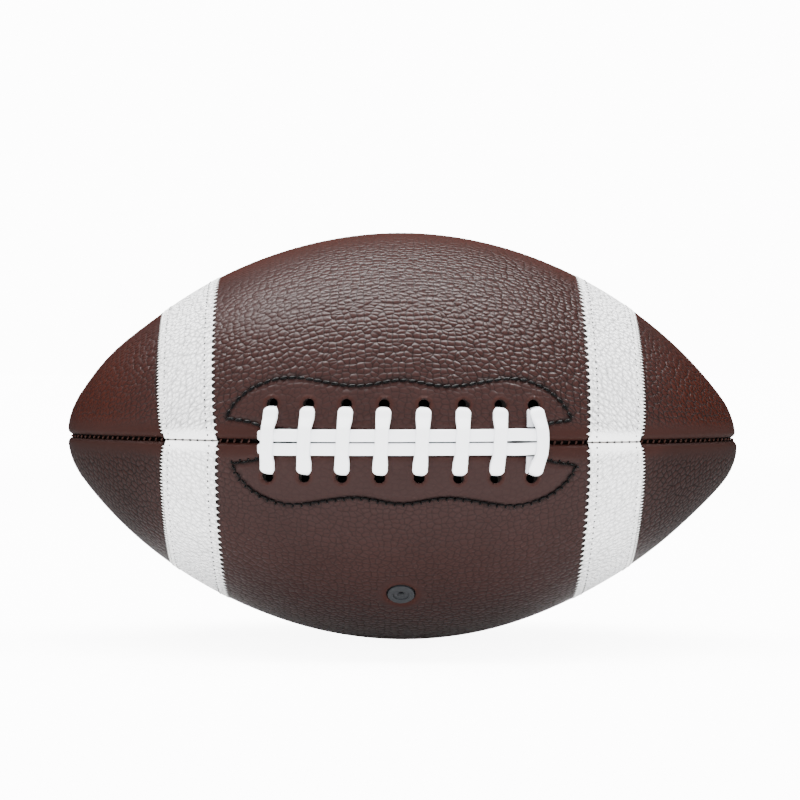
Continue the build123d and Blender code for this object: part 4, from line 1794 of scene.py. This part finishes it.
@dataclass
class Football:
    """The whole ball, built piece by piece and dressed, round the frame that the loader returned."""

    frame: dict

    FRAME_FINISHES = {"lining": "lining", "lace_patch": "patch", "lace_tongue": "tongue",
                      "bladder": "bladder", "valve": "valve"}
    STROKE_BEAD = (6, 5)
    HOLE_BEAD = (6, 4)

    def __post_init__(self) -> None:
        """Takes the sizes, works out the ball's form and makes the materials."""
        self.sizes = Sizes()
        self.form = BallForm(self.sizes.ball)
        self.palette = Palette()

    def dress(self, piece: Piece, material: str, slot: str, *nodes: str) -> None:
        """Gives a new piece its material and its place in the frame, and reports it.

        Args:
            piece: piece to dress.
            material: name of its material.
            slot: name of its material slot; not used.
            nodes: CAD nodes that it stands for.
        """
        piece.data.materials.clear()
        piece.data.materials.append(self.palette.made[material])
        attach(piece, "root")
        if nodes:
            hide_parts(*nodes)
        faces = len(piece.data.polygons)
        log.info("%s: %d faces of %s, for %s", piece.name, faces, material, nodes or "no node")

    def build_panels(self) -> None:
        """Models and dresses the leather, the bands and their stitches."""
        for side in Side:
            panel = Panel(side, self.form, self.sizes)
            self.dress(panel.build(), "leather", "leather", f"panel_{side.label}")
            if side is Side.FRONT_LOWER:
                self.dress(panel.valve_lip(), "leather", "leather")
            if side.faces_front:
                self.build_bands(panel)
                thread = WaveThread(panel).build()
                self.dress(thread, "wave_thread", "patch_thread", f"patch_thread_{side.row}")

    def build_bands(self, panel: Panel) -> None:
        """Models and dresses the two bands of a front panel.

        Args:
            panel: the panel.
        """
        for band in (Band(panel, -1), Band(panel, 1)):
            self.dress(band.build(), "band", "stripe", f"stripe_{band.label}")
            dots: list[Matrix] = []
            for edge in Edge:
                strokes, teeth, holes = band.stitches(edge)
                name = f"{band.label}_{edge.value}_zigzag"
                row = Bench.joined(name, [Bench.repeated(name, Bench.bead(*self.STROKE_BEAD), strokes),
                                          Bench.repeated(f"{name}_points", Bench.spike(), teeth)])
                self.dress(row, "band_thread", "stripe_thread", f"stripe_thread_{band.label}_{edge.value}")
                dots += holes
            dots += band.seam_dots()
            # One piece for the dark beads: painted shade in the needle holes, and the seam's dark stitches.
            marks = Bench.repeated(f"{band.label}_needle_holes", Bench.bead(*self.HOLE_BEAD), dots)
            self.dress(marks, "needle_hole", "stripe_thread")

    def build_seams(self) -> None:
        """Models and dresses the seam threads."""
        seam = self.sizes.seam
        end = self.form.half_arc - seam.nose_margin
        lace_end = float(self.form.arc_of(seam.lace_end))
        rows = (("front_left", 0, -end, -lace_end), ("front_right", 0, lace_end, end),
                ("top", 90, -end, end), ("rear", 180, -end, end), ("bottom", 270, -end, end))
        for label, turn, start, stop in rows:
            row = SeamThread(self.form, seam, label, turn, start, stop)
            self.dress(row.build(), "seam_thread", "seam_thread", f"seam_thread_{label}")

    def build_lace(self) -> None:
        """Models and dresses the lace."""
        lace = Lace(self.form, self.sizes.lace)
        bars = Bench.joined("lace_bars", [lace.bar(index) for index in range(len(lace.sizes.places))])
        self.dress(bars, "lace", "lace", "lace_crossbars")
        # The fold gets the grey of painted shade on its slanted side.
        folds = Bench.joined("lace_end_folds", [lace.fold(1), lace.fold(-1)])
        self.dress(folds, "lace_side", "lace")
        strands = Bench.joined("lace_long_strands", [lace.strand(1), lace.strand(-1)])
        self.dress(strands, "lace", "lace", "lace_strands")

    def dress_frame(self) -> None:
        """Gives the CAD nodes that stay in view or inside the ball their materials."""
        for name, node in self.frame["nodes"].items():
            for start, material in self.FRAME_FINISHES.items():
                if name.startswith(start):
                    node.data.materials.clear()
                    node.data.materials.append(self.palette.made[material])
                    log.info("%s: CAD node in %s", name, material)

    def build(self) -> None:
        """Builds and dresses everything, from the leather to the studio round it."""
        self.dress_frame()
        self.build_panels()
        self.build_seams()
        self.build_lace()
        Studio(-self.form.sizes.radius * MM).build(self.palette)


def main() -> None:
    """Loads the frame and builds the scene."""
    logging.basicConfig(level=logging.INFO)
    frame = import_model()
    Football(frame).build()


if __name__ == "__main__":
    main()
